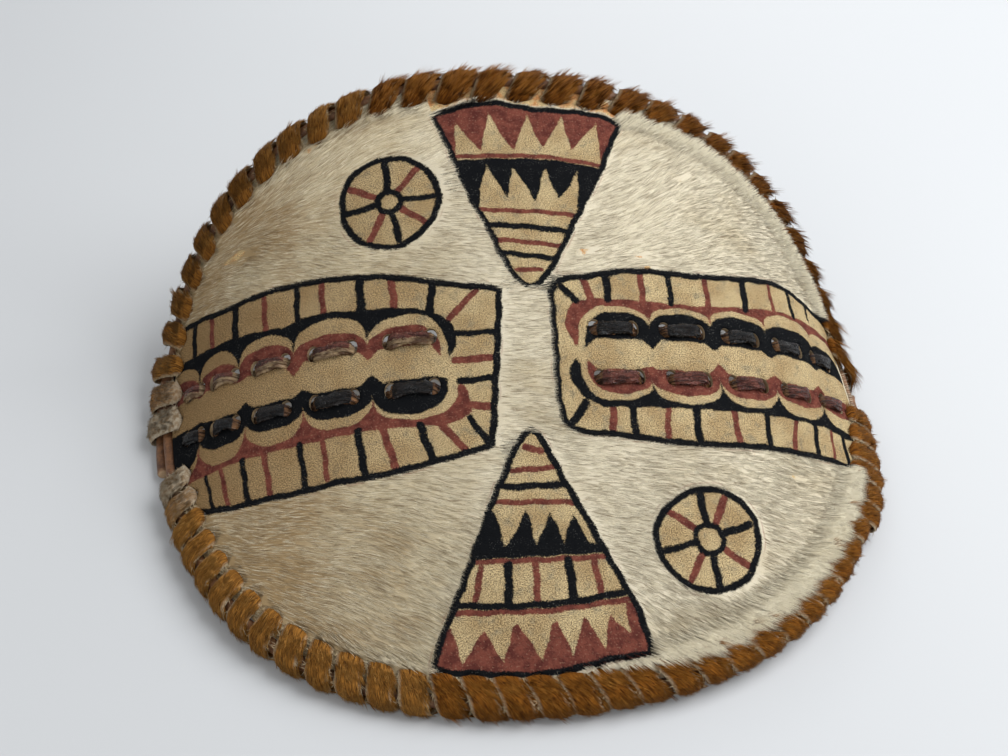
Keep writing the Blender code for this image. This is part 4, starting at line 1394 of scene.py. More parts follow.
@dataclass
class PaintedHide:
    """The hide: a bent sheet with its holes, painted on the front and bare behind."""

    shell: Shell
    painting: Painting
    openings: Openings
    holes: Array
    edge_steps: int = 640
    fine_cell: float = 0.00112
    coarse_cell: float = 0.0036
    paint_margin: float = 3.0
    edge_round: float = 0.0011

    def cells(self, cell: float) -> Array:
        """Return a triangular pattern of flat points over the hide."""
        reach = int(0.24 / cell) + 2
        columns, rows = np.meshgrid(np.arange(-reach, reach + 1), np.arange(-reach, reach + 1))
        spots = np.stack([cell * (columns + 0.5 * (rows % 2)), cell * rows * math.sqrt(0.75)], -1)
        spots = spots.reshape(-1, 2)
        return spots[self.shell.edge_gap(spots) > 0.45 * cell]

    def loops(self) -> list[Array]:
        """Return the outer edge and the outline of every opening."""
        edge = self.shell.outline(np.arange(self.edge_steps) * 360.0 / self.edge_steps)
        return [edge] + self.openings.hole_loops(self.holes) + self.openings.slot_loops()

    def clear_of(self, spots: Array, tree: KDTree, cell: float) -> Array:
        """Drop the spots that crowd the loops."""
        gaps = np.array([tree.find((u, v, 0.0))[2] for u, v in spots])
        return spots[gaps > 0.55 * cell]

    def within_openings(self, spots: Array, loops: list[Array]) -> Array:
        """Say which spots lie within an opening."""
        found = np.zeros(len(spots), bool)
        for loop in loops[1:]:
            index = Painting.near(spots, loop, 0.0)
            found[index] |= Painting.patch_gap(spots[index], loop) < 0.0
        return found

    def sheet(self, loops: list[Array], spots: Array) -> tuple[Array, Array]:
        """Join loops and spots into a flat sheet of triangles.

        Args:
            loops: The outer edge first, then the openings.
            spots: Flat points between them.

        Returns:
            The flat points, loops first, and the triangles seen anticlockwise.
        """
        points = np.concatenate(loops + [spots])
        links = []
        owner = np.full(len(points), -1)
        start = 0
        for number, loop in enumerate(loops):
            count = len(loop)
            links += [(start + index, start + (index + 1) % count) for index in range(count)]
            owner[start:start + count] = number
            start += count
        result = delaunay_2d_cdt([Vector(point) for point in points], links, [], 0, 1e-8)
        source = np.array([origin[0] for origin in result[3]])
        faces = source[np.array(result[2])]
        owners = owner[faces]
        in_hole = (owners[:, 0] == owners[:, 1]) & (owners[:, 1] == owners[:, 2]) & (owners[:, 0] > 0)
        outside = self.shell.edge_gap(points[faces].mean(1)) < 0.0
        outside &= (owners == 0).all(1)
        faces = faces[~in_hole & ~outside]
        first, second, third = (points[faces[:, corner]] for corner in range(3))
        area = ((second[:, 0] - first[:, 0]) * (third[:, 1] - first[:, 1])
                - (second[:, 1] - first[:, 1]) * (third[:, 0] - first[:, 0]))
        faces[area < 0.0] = faces[area < 0.0][:, ::-1]
        return points, faces

    def build(self, finishes: Finishes) -> None:
        """Build and dress the hide."""
        loops = self.loops()
        fixed = np.concatenate(loops)
        tree = tree_of(fixed)
        fine = self.cells(self.fine_cell)
        fine = fine[self.painting.clipped(fine / MM, self.paint_margin + 1.0) < self.paint_margin]
        coarse = self.cells(self.coarse_cell)
        margin = self.paint_margin + 0.5 * self.coarse_cell / MM
        plain = coarse[self.painting.clipped(coarse / MM, 9.0) > margin]
        front_spots = np.concatenate([self.clear_of(fine, tree, self.fine_cell),
                                      self.clear_of(plain, tree, self.coarse_cell)])
        front_spots = front_spots[~self.within_openings(front_spots, loops)]
        back_spots = self.clear_of(coarse, tree, self.coarse_cell)
        back_spots = back_spots[~self.within_openings(back_spots, loops)]
        front, front_faces = self.sheet(loops, front_spots)
        back, back_faces = self.sheet(loops, back_spots)
        half = self.shell.thickness / 2.0
        gaps = np.array([tree.find((u, v, 0.0))[2] for u, v in front])
        rounding = 0.42 * np.exp(-(gaps / self.edge_round) ** 2)
        relief = self.openings.relief
        points = np.concatenate([
            self.shell.place(front, half * (1.0 - rounding) + relief(front)),
            self.shell.place(fixed, relief(fixed)),
            self.shell.place(back, -half + relief(back) * 0.8),
        ])
        middle_start = len(front)
        back_start = middle_start + len(fixed)
        faces = front_faces.tolist() + (back_faces[:, ::-1] + back_start).tolist()
        start = 0
        for number, loop in enumerate(loops):
            count = len(loop)
            here = start + np.arange(count)
            there = start + (np.arange(count) + 1) % count
            for upper, lower in ((0, middle_start), (middle_start, back_start)):
                wall = np.stack([here + upper, here + lower, there + lower, there + upper], -1)
                faces += (wall if number == 0 else wall[:, ::-1]).tolist()
            start += count
        flat = np.concatenate([front, fixed, back])
        values = {name: np.full(len(flat), FAR) for name in ("clipped", "red", "black", "bare")}
        for name, numbers in self.painting.values(front / MM).items():
            values[name][:len(front)] = numbers
        values["flesh"] = np.concatenate([np.zeros(len(front)), np.ones(len(fixed) + len(back))])
        piece = new_piece("shield_hide", points, faces, values, flat)
        piece.data.set_sharp_from_angle(angle=math.radians(50.0))
        hand_over(piece, finishes.hide, "painted_hide", "hide")


@dataclass(frozen=True)
class HairShape:
    """A single hair: a slim closed cone, modelled once and then planted at every root."""

    points: Array
    faces: Array

    @classmethod
    def model(cls, name: str, bends: tuple[float, ...]) -> "HairShape":
        """Model a hair along Z, one unit long and one unit wide.

        Args:
            name: The name of the pattern object.
            bends: Heights where the hair can bend.

        Returns:
            The hair's corners and triangles.
        """
        deselect()
        bpy.ops.mesh.primitive_cone_add(vertices=3, radius1=0.5, radius2=0.0, depth=1.0,
                                        end_fill_type="NGON", location=(0.0, 0.0, 0.5))
        pattern = bpy.context.object
        pattern.name = name
        bpy.ops.object.transform_apply(location=True, rotation=True, scale=True)
        bpy.ops.object.mode_set(mode="EDIT")
        for height in bends:
            bpy.ops.mesh.select_all(action="SELECT")
            bpy.ops.mesh.bisect(plane_co=(0.0, 0.0, height), plane_no=(0.0, 0.0, 1.0))
        bpy.ops.mesh.select_all(action="SELECT")
        bpy.ops.mesh.quads_convert_to_tris()
        bpy.ops.object.mode_set(mode="OBJECT")
        points = np.array([vertex.co for vertex in pattern.data.vertices])
        faces = np.array([face.vertices for face in pattern.data.polygons])
        bpy.data.objects.remove(pattern, do_unlink=True)
        return cls(points, faces)

    def plant(self, name: str, roots: Array, bends: Array, tips: Array, upward: Array, widths: Array,
              values: dict[str, Array], flat: Array | None = None) -> Piece:
        """Copy the hair to many roots, as one mesh.

        Args:
            name: The piece's name.
            roots: Where each hair starts.
            bends: The point that pulls each hair's middle.
            tips: Where each hair ends.
            upward: The way out of the skin at each hair.
            widths: Each hair's breadth at its root.
            values: Numbers of each hair, or two of each, at its root and at its tip.
            flat: Each hair's flat places, at its root and at its tip.

        Returns:
            The piece with all the hairs.
        """
        count = len(roots)
        corners = len(self.points)
        height = self.points[:, 2][None, :, None]
        line = ((1.0 - height) ** 2 * roots[:, None] + 2.0 * height * (1.0 - height) * bends[:, None]
                + height ** 2 * tips[:, None])
        line[..., 2] = np.maximum(line[..., 2], FLOOR_GAP)
        way = unit(tips - roots)
        side = unit(np.cross(upward, way))
        rise = np.cross(way, side)
        spread = (side[:, None] * self.points[:, 0][None, :, None]
                  + 0.6 * rise[:, None] * self.points[:, 1][None, :, None]) * widths[:, None, None]
        faces = (self.faces[None] + (np.arange(count) * corners)[:, None, None]).reshape(-1, 3)
        share = self.points[:, 2]
        numbers = {"along": np.tile(share, count)}
        for title, value in values.items():
            ends = value.reshape(count, -1)
            numbers[title] = (ends[:, :1] + (ends[:, -1:] - ends[:, :1]) * share).ravel()
        places = None
        if flat is not None:
            places = (flat[:, None, :2] + (flat[:, None, 2:] - flat[:, None, :2]) * share[None, :, None])
            places = places.reshape(-1, 2)
        corners_at = (line + spread).reshape(-1, 3)
        corners_at[:, 2] = np.maximum(corners_at[:, 2], 0.0)
        return new_piece(name, corners_at, faces.tolist(), numbers, places)


@dataclass
class HairCoat:
    """The long hair on the bare hide, and the clipped hair under the paint."""

    shell: Shell
    painting: Painting
    openings: Openings
    holes: Array
    long_cell: float = 0.00087
    long_length: float = 0.0112
    long_width: float = 0.00037
    tuft_cell: float = 0.0016
    tuft_pull: float = 0.26
    clipped_cell: float = 0.00116
    clipped_length: float = 0.0028
    clipped_width: float = 0.00036
    rim_margin: float = 0.0008
    fringe_gap: float = 0.0098
    fringe_copies: int = 3
    root_depth: float = 0.00025
    lacing_reach: float = 0.0160
    lacing_slope: float = 0.0070
    lacing_height: float = 0.0035
    crest_reach: float = 0.0084
    crest_slope: float = 0.0066
    crest_height: float = 0.0018
    shortenings: tuple[float, ...] = (1.0, 0.85, 0.7, 0.55, 0.4, 0.28, 0.18)
    overlap_mm: float = 0.8
    seed: int = 11

    def roots(self, cell: float, draw: np.random.Generator) -> Array:
        """Return scattered flat places over the hide, off its openings."""
        cell = cell / math.sqrt(HAIR_SHARE)
        reach = int(0.22 / cell)
        columns, rows = np.meshgrid(np.arange(-reach, reach + 1), np.arange(-reach, reach + 1))
        spots = np.stack([columns, rows], -1).reshape(-1, 2) * cell
        spots = spots + draw.uniform(-0.5, 0.5, spots.shape) * cell
        spots = spots[self.shell.edge_gap(spots) > self.rim_margin]
        keep = np.ones(len(spots), bool)
        for centre in self.openings.hole_centres(self.holes):
            keep &= np.linalg.norm(spots - centre, axis=1) > self.openings.hole_radius * 1.04
        for loop in self.openings.slot_loops():
            index = Painting.near(spots, loop, 0.0)
            keep[index] = False
        return spots[keep]

    def lie(self, flat: Array) -> Array:
        """Return the way that the hair lies, as an angle from +u in degrees."""
        u = flat[:, 0] / MM
        v = flat[:, 1] / MM
        right = np.where(v > 0.0, 31.0 * (np.abs(v) / 112.0) ** 1.2, -30.0 * (np.abs(v) / 128.0) ** 1.7)
        left_top = -17.0 + 36.0 * ease((v - 82.0) / 50.0)
        left = np.where(v > 0.0, left_top * ease(v / 60.0 + 0.3), -25.0 * (np.abs(v) / 108.0) ** 1.3)
        share = ease((u + 55.0) / 110.0)
        wander = 7.0 * np.sin(u * 0.045 + 1.0) * np.sin(v * 0.052 + 0.3) + 4.0 * np.sin(u * 0.13 - v * 0.09)
        return left * (1.0 - share) + right * share + wander

    def grow(self, name: str, flat: Array, reach: Array, widths: Array, lifts: Array,
             values: dict[str, Array], shape: HairShape, arch: Array | None = None) -> Piece:
        """Plant hairs that lie along the hide.

        Args:
            name: The piece's name.
            flat: The flat place of each root.
            reach: The flat place of each tip.
            widths: Each hair's breadth at its root.
            lifts: How high each tip stands over the hide.
            values: Numbers of each hair.
            shape: The hair to copy.
            arch: How high each hair's middle stands, where it isn't three quarters of its tip's height.

        Returns:
            The piece with all the hairs.
        """
        half = self.shell.thickness / 2.0
        relief = self.openings.relief(flat)
        roots = self.shell.place(flat, half - self.root_depth + relief)
        arch = lifts * 0.75 if arch is None else arch
        middle = self.shell.place((flat + reach) / 2.0, half + arch + relief)
        tips = self.shell.place(reach, half + lifts + self.openings.relief(reach))
        bends = 2.0 * middle - (roots + tips) / 2.0
        at_root = self.painting.values(flat / MM)
        at_tip = self.painting.values(reach / MM)
        numbers = {title: np.stack([at_root[title], at_tip[title]], -1) for title in at_root}
        return shape.plant(name, roots, bends, tips, self.shell.normal(flat), widths, numbers | values,
                           np.concatenate([flat, reach], axis=1))

    @staticmethod
    def ways(turns: Array) -> Array:
        """Return flat ways at angles in degrees."""
        return np.stack([np.cos(np.radians(turns)), np.sin(np.radians(turns))], -1)

    def build_long(self, finishes: Finishes, shape: HairShape, bent: HairShape) -> None:
        """Build the long coat in two pieces, above and below the middle, gathered in small tufts."""
        draw = np.random.default_rng(self.seed)
        tufts = self.roots(self.tuft_cell, draw)
        flat = self.roots(self.long_cell, draw)
        inside = self.painting.clipped(flat / MM, 12.0)
        flat = flat[(inside > -self.overlap_mm * 0.6) & (self.painting.bare(flat / MM) > 0.4)]
        tree = tree_of(tufts)
        owner = np.array([tree.find((u, v, 0.0))[1] for u, v in flat])
        tuft_turn = self.lie(tufts) + draw.normal(0.0, 4.5, len(tufts))
        tuft_length = self.long_length * draw.uniform(0.75, 1.2, len(tufts))
        tuft_tip = tufts + self.ways(tuft_turn) * tuft_length[:, None]
        turns = tuft_turn[owner] + draw.normal(0.0, 3.5, len(flat))
        lengths = tuft_length[owner] * draw.uniform(0.80, 1.10, len(flat))
        step = self.ways(turns) * lengths[:, None]
        step += (tuft_tip[owner] - flat - step) * self.tuft_pull
        shortened = np.ones(len(flat))
        for share in self.shortenings:
            reach = (flat + step * share) / MM
            crossing = self.painting.clipped(reach, 12.0) < -self.overlap_mm
            crossing |= self.painting.clipped((flat / MM + reach) / 2.0, 12.0) < -self.overlap_mm
            crossing |= self.painting.bare(reach) < -0.3
            crossing |= self.shell.edge_gap(reach * MM) < 0.0005
            shortened[crossing] = share * 0.8
        step *= shortened[:, None]
        reach = flat + step
        widths = self.long_width * draw.uniform(0.7, 1.25, len(flat)) * np.clip(shortened * 1.6, 0.6, 1.0)
        lifts = draw.uniform(0.0, 0.0007, len(tufts))[owner] + draw.uniform(0.00005, 0.0003, len(flat))
        gap = self.shell.edge_gap(flat)
        outward = gap - self.shell.edge_gap(reach)
        lifts += ease(outward / 0.004) * self.wrap_height(reach)
        leaving = (outward > 0.0025) & (self.shell.edge_gap(reach) < self.fringe_gap)
        tone = 0.25 * draw.uniform(0.0, 1.0, len(tufts))[owner] + 0.75 * draw.uniform(0.0, 1.0, len(flat))
        # Painted light: hairs that run out over the lacing are made paler.
        tone -= 0.12 * ease(outward / 0.004) * ease((0.018 - self.shell.edge_gap(reach)) / 0.007)
        tone = np.clip((tone - 0.5) * 2.1 + 0.5, 0.0, 1.0)
        for name, half in (("hide_coat_upper", flat[:, 1] >= 0.0), ("hide_coat_lower", flat[:, 1] < 0.0)):
            part = half & ~leaving
            piece = self.grow(name, flat[part], reach[part], widths[part], lifts[part],
                              {"tone": tone[part]}, shape)
            hand_over(piece, finishes.coat, "painted_hide")
        low = ease((0.030 - flat[:, 1]) / 0.060) * ease((flat[:, 0] - 0.02) / 0.05)
        over = leaving & (gap > self.fringe_gap * (1.20 - 0.30 * low))
        over = np.repeat(np.nonzero(over)[0], self.fringe_copies)
        aside = draw.normal(0.0, 0.0006, (len(over), 2))
        pull = (0.60 + 0.68 * low[over]) * draw.uniform(0.80, 1.15, len(over))
        tips = flat[over] + (reach[over] - flat[over]) * pull[:, None]
        # Painted light: the hairs that lap over the lacing are paler still.
        self.build_fringe(finishes, bent, flat[over] + aside, tips + aside, widths[over],
                          draw.uniform(0.0, 0.0007, len(over)), 0.55 * tone[over])

    def wrap_height(self, flat: Array) -> Array:
        """Return how high the lacing stands over the hide, inside its edge."""
        gap = self.shell.edge_gap(flat)
        raised = self.lacing_height * ease((self.lacing_reach - gap) / self.lacing_slope)
        return raised + self.crest_height * np.clip((self.crest_reach - gap) / self.crest_slope, 0.0, 1.0)

    def build_fringe(self, finishes: Finishes, shape: HairShape, flat: Array, reach: Array, widths: Array,
                     lifts: Array, tone: Array) -> None:
        """Build the hair that laps over the lacing.

        Args:
            finishes: The materials.
            shape: The hair to copy, with a bend.
            flat: The flat place of each root.
            reach: The flat place of each tip.
            widths: Each hair's breadth at its root.
            lifts: How high each hair lies over the lacing.
            tone: Each hair's tone.
        """
        arch = self.wrap_height((flat + reach) / 2.0) + 0.7 * lifts
        piece = self.grow("hide_coat_fringe", flat, reach, widths, self.wrap_height(reach) + lifts,
                          {"tone": tone}, shape, arch)
        hand_over(piece, finishes.coat, "painted_hide")

    def build_clipped(self, finishes: Finishes, shape: HairShape) -> None:
        """Build the short hair that carries the paint."""
        draw = np.random.default_rng(self.seed + 1)
        flat = self.roots(self.clipped_cell, draw)
        flat = flat[self.painting.clipped(flat / MM, 2.0) < 0.3]
        count = len(flat)
        lengths = self.clipped_length * draw.uniform(0.6, 1.25, count)
        reach = flat + self.ways(self.lie(flat) + draw.normal(0.0, 20.0, count)) * lengths[:, None]
        widths = self.clipped_width * draw.uniform(0.7, 1.3, count)
        lifts = draw.uniform(0.0, 0.00045, count)
        tone = draw.uniform(0.0, 1.0, count)
        piece = self.grow("clipped_hair", flat, reach, widths, lifts, {"tone": tone}, shape)
        hand_over(piece, finishes.bristle, "painted_hide")


@dataclass
class Lacing:
    """One lacing strip with its hair, wound through the hide's edge and round the rods."""

    shell: Shell
    openings: Openings
    strip: Strip
    seed: int
    thickness: float = 0.0016
    crown: float = 0.0012
    hole_width: float = 0.0064
    blunt: float = 0.92
    start_rise: float = 0.0018
    neck: float = 0.62
    shoulder: float = 0.0050
    tail_reach: float = 0.0040
    fit_gap: float = 0.0005
    samples: int = 24
    sides: int = 14
    locks_a_turn: int = 170
    lock_half_width: float = 0.0008
    frayed_share: float = 0.012
    hair_breadth: float = 0.00042
    hair_depth: float = 0.0004
    entry_depth: float = 0.0084
    crest_drop: float = 0.0014
    crest_puff: float = 0.0008
    wrap_angle_deg: float = 30.0
    worn_share: float = 0.85

    def __post_init__(self) -> None:
        """Work out the strip's route."""
        self.draw = np.random.default_rng(self.seed)
        self.winding = math.copysign(1.0, self.strip.last_deg - self.strip.first_deg)
        self.route()

    def outermost(self, degrees: float, half_span: float) -> tuple[float, float]:
        """Return the largest offset and radius of the rods within a span of the rim."""
        angles = degrees + half_span * np.arange(-2, 3) / 2.0
        found = [(float(rod.offset(angle)), float(rod.radius(angle)))
                 for angle in angles for rod in RODS if rod.covers(angle)]
        return max(found)

    def route(self) -> None:
        """Find the strip's middle, breadth and width all along, through the same places as the solid."""
        strip = self.strip
        holes = strip_holes(self.shell, strip)
        turn_deg = (strip.last_deg - strip.first_deg) / (len(holes) - 1)
        half = self.thickness / 2.0
        over = RODS[0].butt_radius + self.fit_gap + half
        knots, rows = [], []

        def station(place: float, middle: Array, broad: Array, width: float) -> None:
            """Keep one place of the route: its middle, its broad way and its width."""
            knots.append(place)
            rows.append(np.concatenate([middle, broad, [width]]))

        for number, hole_deg in enumerate(holes):
            following = holes[number + 1] if number + 1 < len(holes) else hole_deg + turn_deg
            broad = strip.breadth * strip.pitch * self.draw.uniform(0.90, 1.06)
            slant = self.draw.normal(0.0, 0.035)
            puff = self.draw.uniform(0.0, 0.0006)
            offset, radius = self.outermost(hole_deg + (following - hole_deg) * 0.42, abs(turn_deg))
            clear = radius + self.fit_gap + half + puff
            bulge = clear / math.cos(math.radians(self.wrap_angle_deg))
            hole = Rim(self.shell, np.array([hole_deg]))
            passing = self.shell.bend(self.openings.hole_centres(np.array([hole_deg])))
            if number == 0:
                tail = passing - hole.front * self.tail_reach - hole.out * (self.tail_reach / 2.0)
                station(-0.06, tail[0], hole.along[0], self.hole_width * 0.8)
            station(number, passing[0], hole.along[0], self.hole_width)
            # Place in the turn, share of the way to the next hole, outwards, forwards, share of the breadth
            stops = [(0.05, 0.04, -self.entry_depth, self.start_rise, self.blunt),
                     (0.13, 0.10 * strip.slope, -self.shoulder, over - self.crest_drop, 0.97),
                     (0.25, 0.24 * strip.slope + slant, offset * 0.55, clear + self.crest_puff, 0.96),
                     (0.37, 0.33 * strip.slope + slant, offset + bulge * 0.55, clear, 1.0),
                     (0.47, 0.42 * strip.slope + slant, offset + bulge, 0.0, 1.0),
                     (0.60, 0.55 * strip.slope + slant, offset + bulge * 0.5, -clear, 1.0),
                     (0.88, 0.92, -self.shoulder, -over, self.neck)]
            if number + 1 == len(holes):
                stops[-1] = (0.74, 0.66, self.fit_gap, -over, 0.8)
            for place, share, outwards, forwards, breadth in stops:
                rim = Rim(self.shell, np.array([hole_deg + (following - hole_deg) * share]))
                station(number + place, rim.at(outwards, forwards)[0], rim.along[0], broad * breadth)
        knots = np.array(knots)
        count = max(2, int((knots[-1] - knots[0]) * self.samples))
        self.knots = np.linspace(knots[0], knots[-1], count)
        read = flow(knots, np.array(rows), self.knots)
        self.middles = read[:, 0:3]
        self.broads = unit(read[:, 3:6])
        self.widths = read[:, 6]
        along = unit(np.gradient(self.middles, self.knots, axis=0))
        self.outward = unit(np.cross(along, self.broads))

    def surface(self, places: Array, across: Array) -> tuple[Array, Array]:
        """Return points on the strip's outer face and the ways out of it.

        Args:
            places: Where along the route.
            across: From -1 to 1 over the breadth.

        Returns:
            The points and their normals, in the shield's own frame.
        """
        read = [np.stack([np.interp(places, self.knots, rows[:, axis]) for axis in range(3)], -1)
                for rows in (self.middles, self.broads, self.outward)]
        middle, broad, outward = read[0], unit(read[1]), unit(read[2])
        width = np.interp(places, self.knots, self.widths)
        rise = self.thickness / 2.0 + self.crown * (1.0 - across ** 2)
        points = middle + broad * (width / 2.0 * across)[:, None] + outward * rise[:, None]
        lean = 4.0 * self.crown * across / width
        return points, unit(outward + broad * lean[:, None])

    def worn(self, places: Array) -> Array:
        """Return how far the hair is worn off: the golden strips' first turn, at the left lap."""
        worn_share = self.worn_share if self.strip.fur is Fur.GOLDEN else 0.0
        return worn_share * ease((1.5 - places) / 0.7)

    def build_band(self, finishes: Finishes) -> None:
        """Build the strip's skin as a closed, rounded band."""
        strip = self.strip
        turns = round_turns(self.sides)
        across = squared(np.cos(turns), 0.8)
        over = squared(np.sin(turns), 0.8)
        lift = over * self.thickness / 2.0 + self.crown * (1.0 - across ** 2) * (over > 0.0)
        rings = (self.middles[:, None] + self.broads[:, None] * (across * 0.5)[None, :, None]
                 * self.widths[:, None, None] + self.outward[:, None] * lift[None, :, None])
        points, faces = tube(rings, self.middles)
        edge = np.tile(ease((np.abs(across) - 0.84) / 0.12), len(rings))
        worn = np.repeat(self.worn(self.knots), self.sides)
        run = np.repeat(run_along(self.middles), self.sides)
        aside = (self.widths[:, None] * across[None] * 0.5).ravel() * self.winding
        lay = math.radians(strip.lay_deg)
        flat = np.stack([run * math.cos(lay) + aside * math.sin(lay),
                         aside * math.cos(lay) - run * math.sin(lay)], -1)
        corners = self.shell.settle(points)
        corners[:, 2] = np.maximum(corners[:, 2], 0.0)
        values = {"edge": np.append(edge, [1.0, 1.0]), "worn": np.append(worn, worn[[0, -1]])}
        flat = np.append(flat, flat[[0, -1]], axis=0)
        piece = new_piece(strip.node + "_skin", corners, faces, values, flat)
        hand_over(piece, finishes.skins[strip.fur], strip.fur.value, strip.node)

    def build_hair(self, finishes: Finishes, shape: HairShape) -> None:
        """Build the strip's hair: close locks, some loose ones, and frayed fibres at its cut edges."""
        strip = self.strip
        draw = self.draw
        turns = int(math.ceil(self.knots[-1]))
        locks = self.locks_a_turn * turns
        lock_place = draw.uniform(0.0, turns, locks)
        lock_place = np.floor(lock_place) + 0.02 + 0.68 * (lock_place % 1.0)
        lock_across = self.winding * draw.uniform(-0.84, 0.96, locks)
        lock_lay = np.radians(strip.lay_deg + draw.normal(0.0, 9.0, locks))
        lock_length = strip.hair_length * draw.uniform(0.65, 1.2, locks)
        lock_lift = draw.uniform(0.0003, 0.0013, locks)
        lock_tone = draw.uniform(0.0, 1.0, locks)
        lock_loose = draw.uniform(0.0, 1.0, locks) < strip.loose_share
        lock_waft = draw.uniform(0.10, 0.50, locks)
        owner = draw.integers(0, locks, int(strip.hairs_a_turn * turns * HAIR_SHARE))
        spread_along, spread_across = draw.normal(0.0, self.lock_half_width, (2, len(owner)))
        speeds = np.linalg.norm(np.gradient(self.middles, self.knots, axis=0), axis=1)
        index = np.clip(np.searchsorted(self.knots, lock_place[owner]), 0, len(self.knots) - 1)
        places = lock_place[owner] + spread_along / speeds[index]
        kept = (places < self.knots[-1] - 0.03) & (places > 0.01)
        owner, places, index = owner[kept], places[kept], index[kept]
        count = len(places)
        half_widths = self.widths[index] / 2.0
        aside = spread_across[kept] / half_widths
        across = np.clip(lock_across[owner] + aside, -0.98, 0.98)
        loose = lock_loose[owner]
        lengths = lock_length[owner] * draw.uniform(0.8, 1.1, count) * np.where(loose, 1.35, 1.0)
        lay = lock_lay[owner] + np.radians(draw.normal(0.0, 4.0, count))
        tone = np.clip(0.28 * lock_tone[owner] + 0.84 * draw.uniform(0.0, 1.0, count) - 0.06, 0.0, 1.0)
        frayed = draw.uniform(0.0, 1.0, count) < self.frayed_share * (1.0 + 4.0 * (places % 1.0 < 0.14))
        side = np.sign(draw.uniform(-1.0, 1.0, count)) * self.winding
        lay = np.where(frayed, side * np.radians(draw.uniform(15.0, 120.0, count)), lay)
        lengths = np.where(frayed, draw.uniform(0.0014, 0.0034, count), lengths)
        across = np.where(frayed, side * self.winding * 0.97, across)
        tone = np.where(frayed, 1.3, tone)
        loose &= ~frayed
        step_along = lengths * np.cos(lay) / speeds[index] - 0.5 * spread_along[kept] / speeds[index]
        step_across = self.winding * lengths * np.sin(lay) / half_widths - 0.5 * aside
        roots, normals = self.surface(places, across)
        middle = self.surface(places + step_along * 0.5, across + step_across * 0.5)[0]
        tips, tip_normals = self.surface(places + step_along, np.clip(across + step_across, -1.5, 1.5))
        lift = lock_lift[owner] + draw.uniform(0.0001, 0.0006, count)
        lift *= np.where(places % 1.0 < 0.16, 0.4, 1.0)
        tips = tips + tip_normals * lift[:, None]
        waft = unit(middle - roots) + normals * lock_waft[owner][:, None]
        tips[loose] = (roots + waft * lengths[:, None])[loose]
        roots = roots - normals * self.hair_depth
        settle = self.shell.settle
        widths = self.hair_breadth * draw.uniform(0.7, 1.3, count)
        piece = shape.plant(strip.node + "_hair", settle(roots), settle((roots + tips) / 2.0), settle(tips),
                            normals @ self.shell.turn.T, widths, {"tone": tone, "worn": self.worn(places)})
        hand_over(piece, finishes.hairs[strip.fur], strip.fur.value)


@dataclass
class Hoop:
    """The two peeled rods."""

    shell: Shell
    sides: int = 16
    step_deg: float = 1.5
    end_places: tuple[float, ...] = (0.35, 0.7, 0.93, 1.0)
    end_sizes: tuple[float, ...] = (1.0, 1.0, 0.97, 0.80)
    end_cut: tuple[float, ...] = (0.0, 0.0, 0.3, 1.0)

    def build(self, finishes: Finishes) -> None:
        """Build both rods as tapered round sweeps with slightly rounded ends."""
        for rod in RODS:
            self.build_rod(rod, finishes)

    def build_rod(self, rod: Rod, finishes: Finishes) -> None:
        """Build one rod, with its straight end beyond the lap."""
        count = int(abs(rod.tip_deg - rod.butt_deg) / self.step_deg)
        directions = np.linspace(rod.butt_deg, rod.tip_deg, count + 1)
        rim = Rim(self.shell, directions)
        middles = rim.at(rod.offset(directions), 0.0)
        radii = rod.radius(directions)
        at_butt = float(rod.rank(np.array(rod.butt_deg))) > 0.5
        place = 0 if at_butt else -1
        sense = math.copysign(1.0, directions[place] - directions[len(directions) // 2])
        share = np.array(self.end_places)[:, None]
        beyond = (middles[place] + rim.along[place] * sense * rod.end_length * share
                  + rim.out[place] * rod.end_rise * share ** 2)

        def joined(end: Array, body: Array) -> Array:
            """Put the values of the straight end before or after those of the bent rod."""
            return np.concatenate([end[::-1], body] if at_butt else [body, end])

        middles = joined(beyond, middles)
        outs = joined(np.repeat(rim.out[place][None], len(beyond), axis=0), rim.out)
        fronts = joined(np.repeat(rim.front[place][None], len(beyond), axis=0), rim.front)
        cut = joined(np.array(self.end_cut), np.zeros(len(radii)))
        radii = joined(radii[place] * np.array(self.end_sizes), radii)
        turns = round_turns(self.sides)
        number = np.arange(len(radii))
        knots = 1.0 + 0.03 * np.sin(number * 1.7) + 0.02 * np.sin(number * 0.6)
        rings = middles[:, None] + (radii * knots)[:, None, None] * (
            outs[:, None] * np.cos(turns)[None, :, None] + fronts[:, None] * np.sin(turns)[None, :, None])
        points, faces = tube(rings, middles)
        values = {"cut": np.concatenate([np.repeat(cut, self.sides), [1.0, 1.0]])}
        piece = new_piece(rod.node + "_wood", self.shell.settle(points), faces, values)
        make_outward(piece)
        piece.data.set_sharp_from_angle(angle=math.radians(55.0))
        hand_over(piece, finishes.rod, "peeled_rod", rod.node)


def tube(rings: Array, middles: Array) -> tuple[Array, list]:
    """Join rings of corners into a tube with closed ends.

    Args:
        rings: Corners by ring and side.
        middles: The middle of each ring.

    Returns:
        All corners, the two end middles last, and the faces.
    """
    count, sides = rings.shape[:2]
    ring = np.arange(count - 1)[:, None] * sides
    side = np.arange(sides)[None]
    ahead = (side + 1) % sides
    quads = np.stack([ring + side, ring + sides + side, ring + sides + ahead, ring + ahead], -1)
    faces = quads.reshape(-1, 4).tolist()
    first = count * sides
    for place in range(sides):
        following = (place + 1) % sides
        faces.append([first, place, following])
        faces.append([first + 1, (count - 1) * sides + following, (count - 1) * sides + place])
    return np.concatenate([rings.reshape(-1, 3), middles[:1], middles[-1:]]), faces


def make_outward(piece: Piece) -> None:
    """Turn a closed piece's faces outwards."""
    deselect()
    piece.select_set(True)
    bpy.context.view_layer.objects.active = piece
    bpy.ops.object.mode_set(mode="EDIT")
    bpy.ops.mesh.select_all(action="SELECT")
    bpy.ops.mesh.normals_make_consistent(inside=False)
    bpy.ops.object.mode_set(mode="OBJECT")


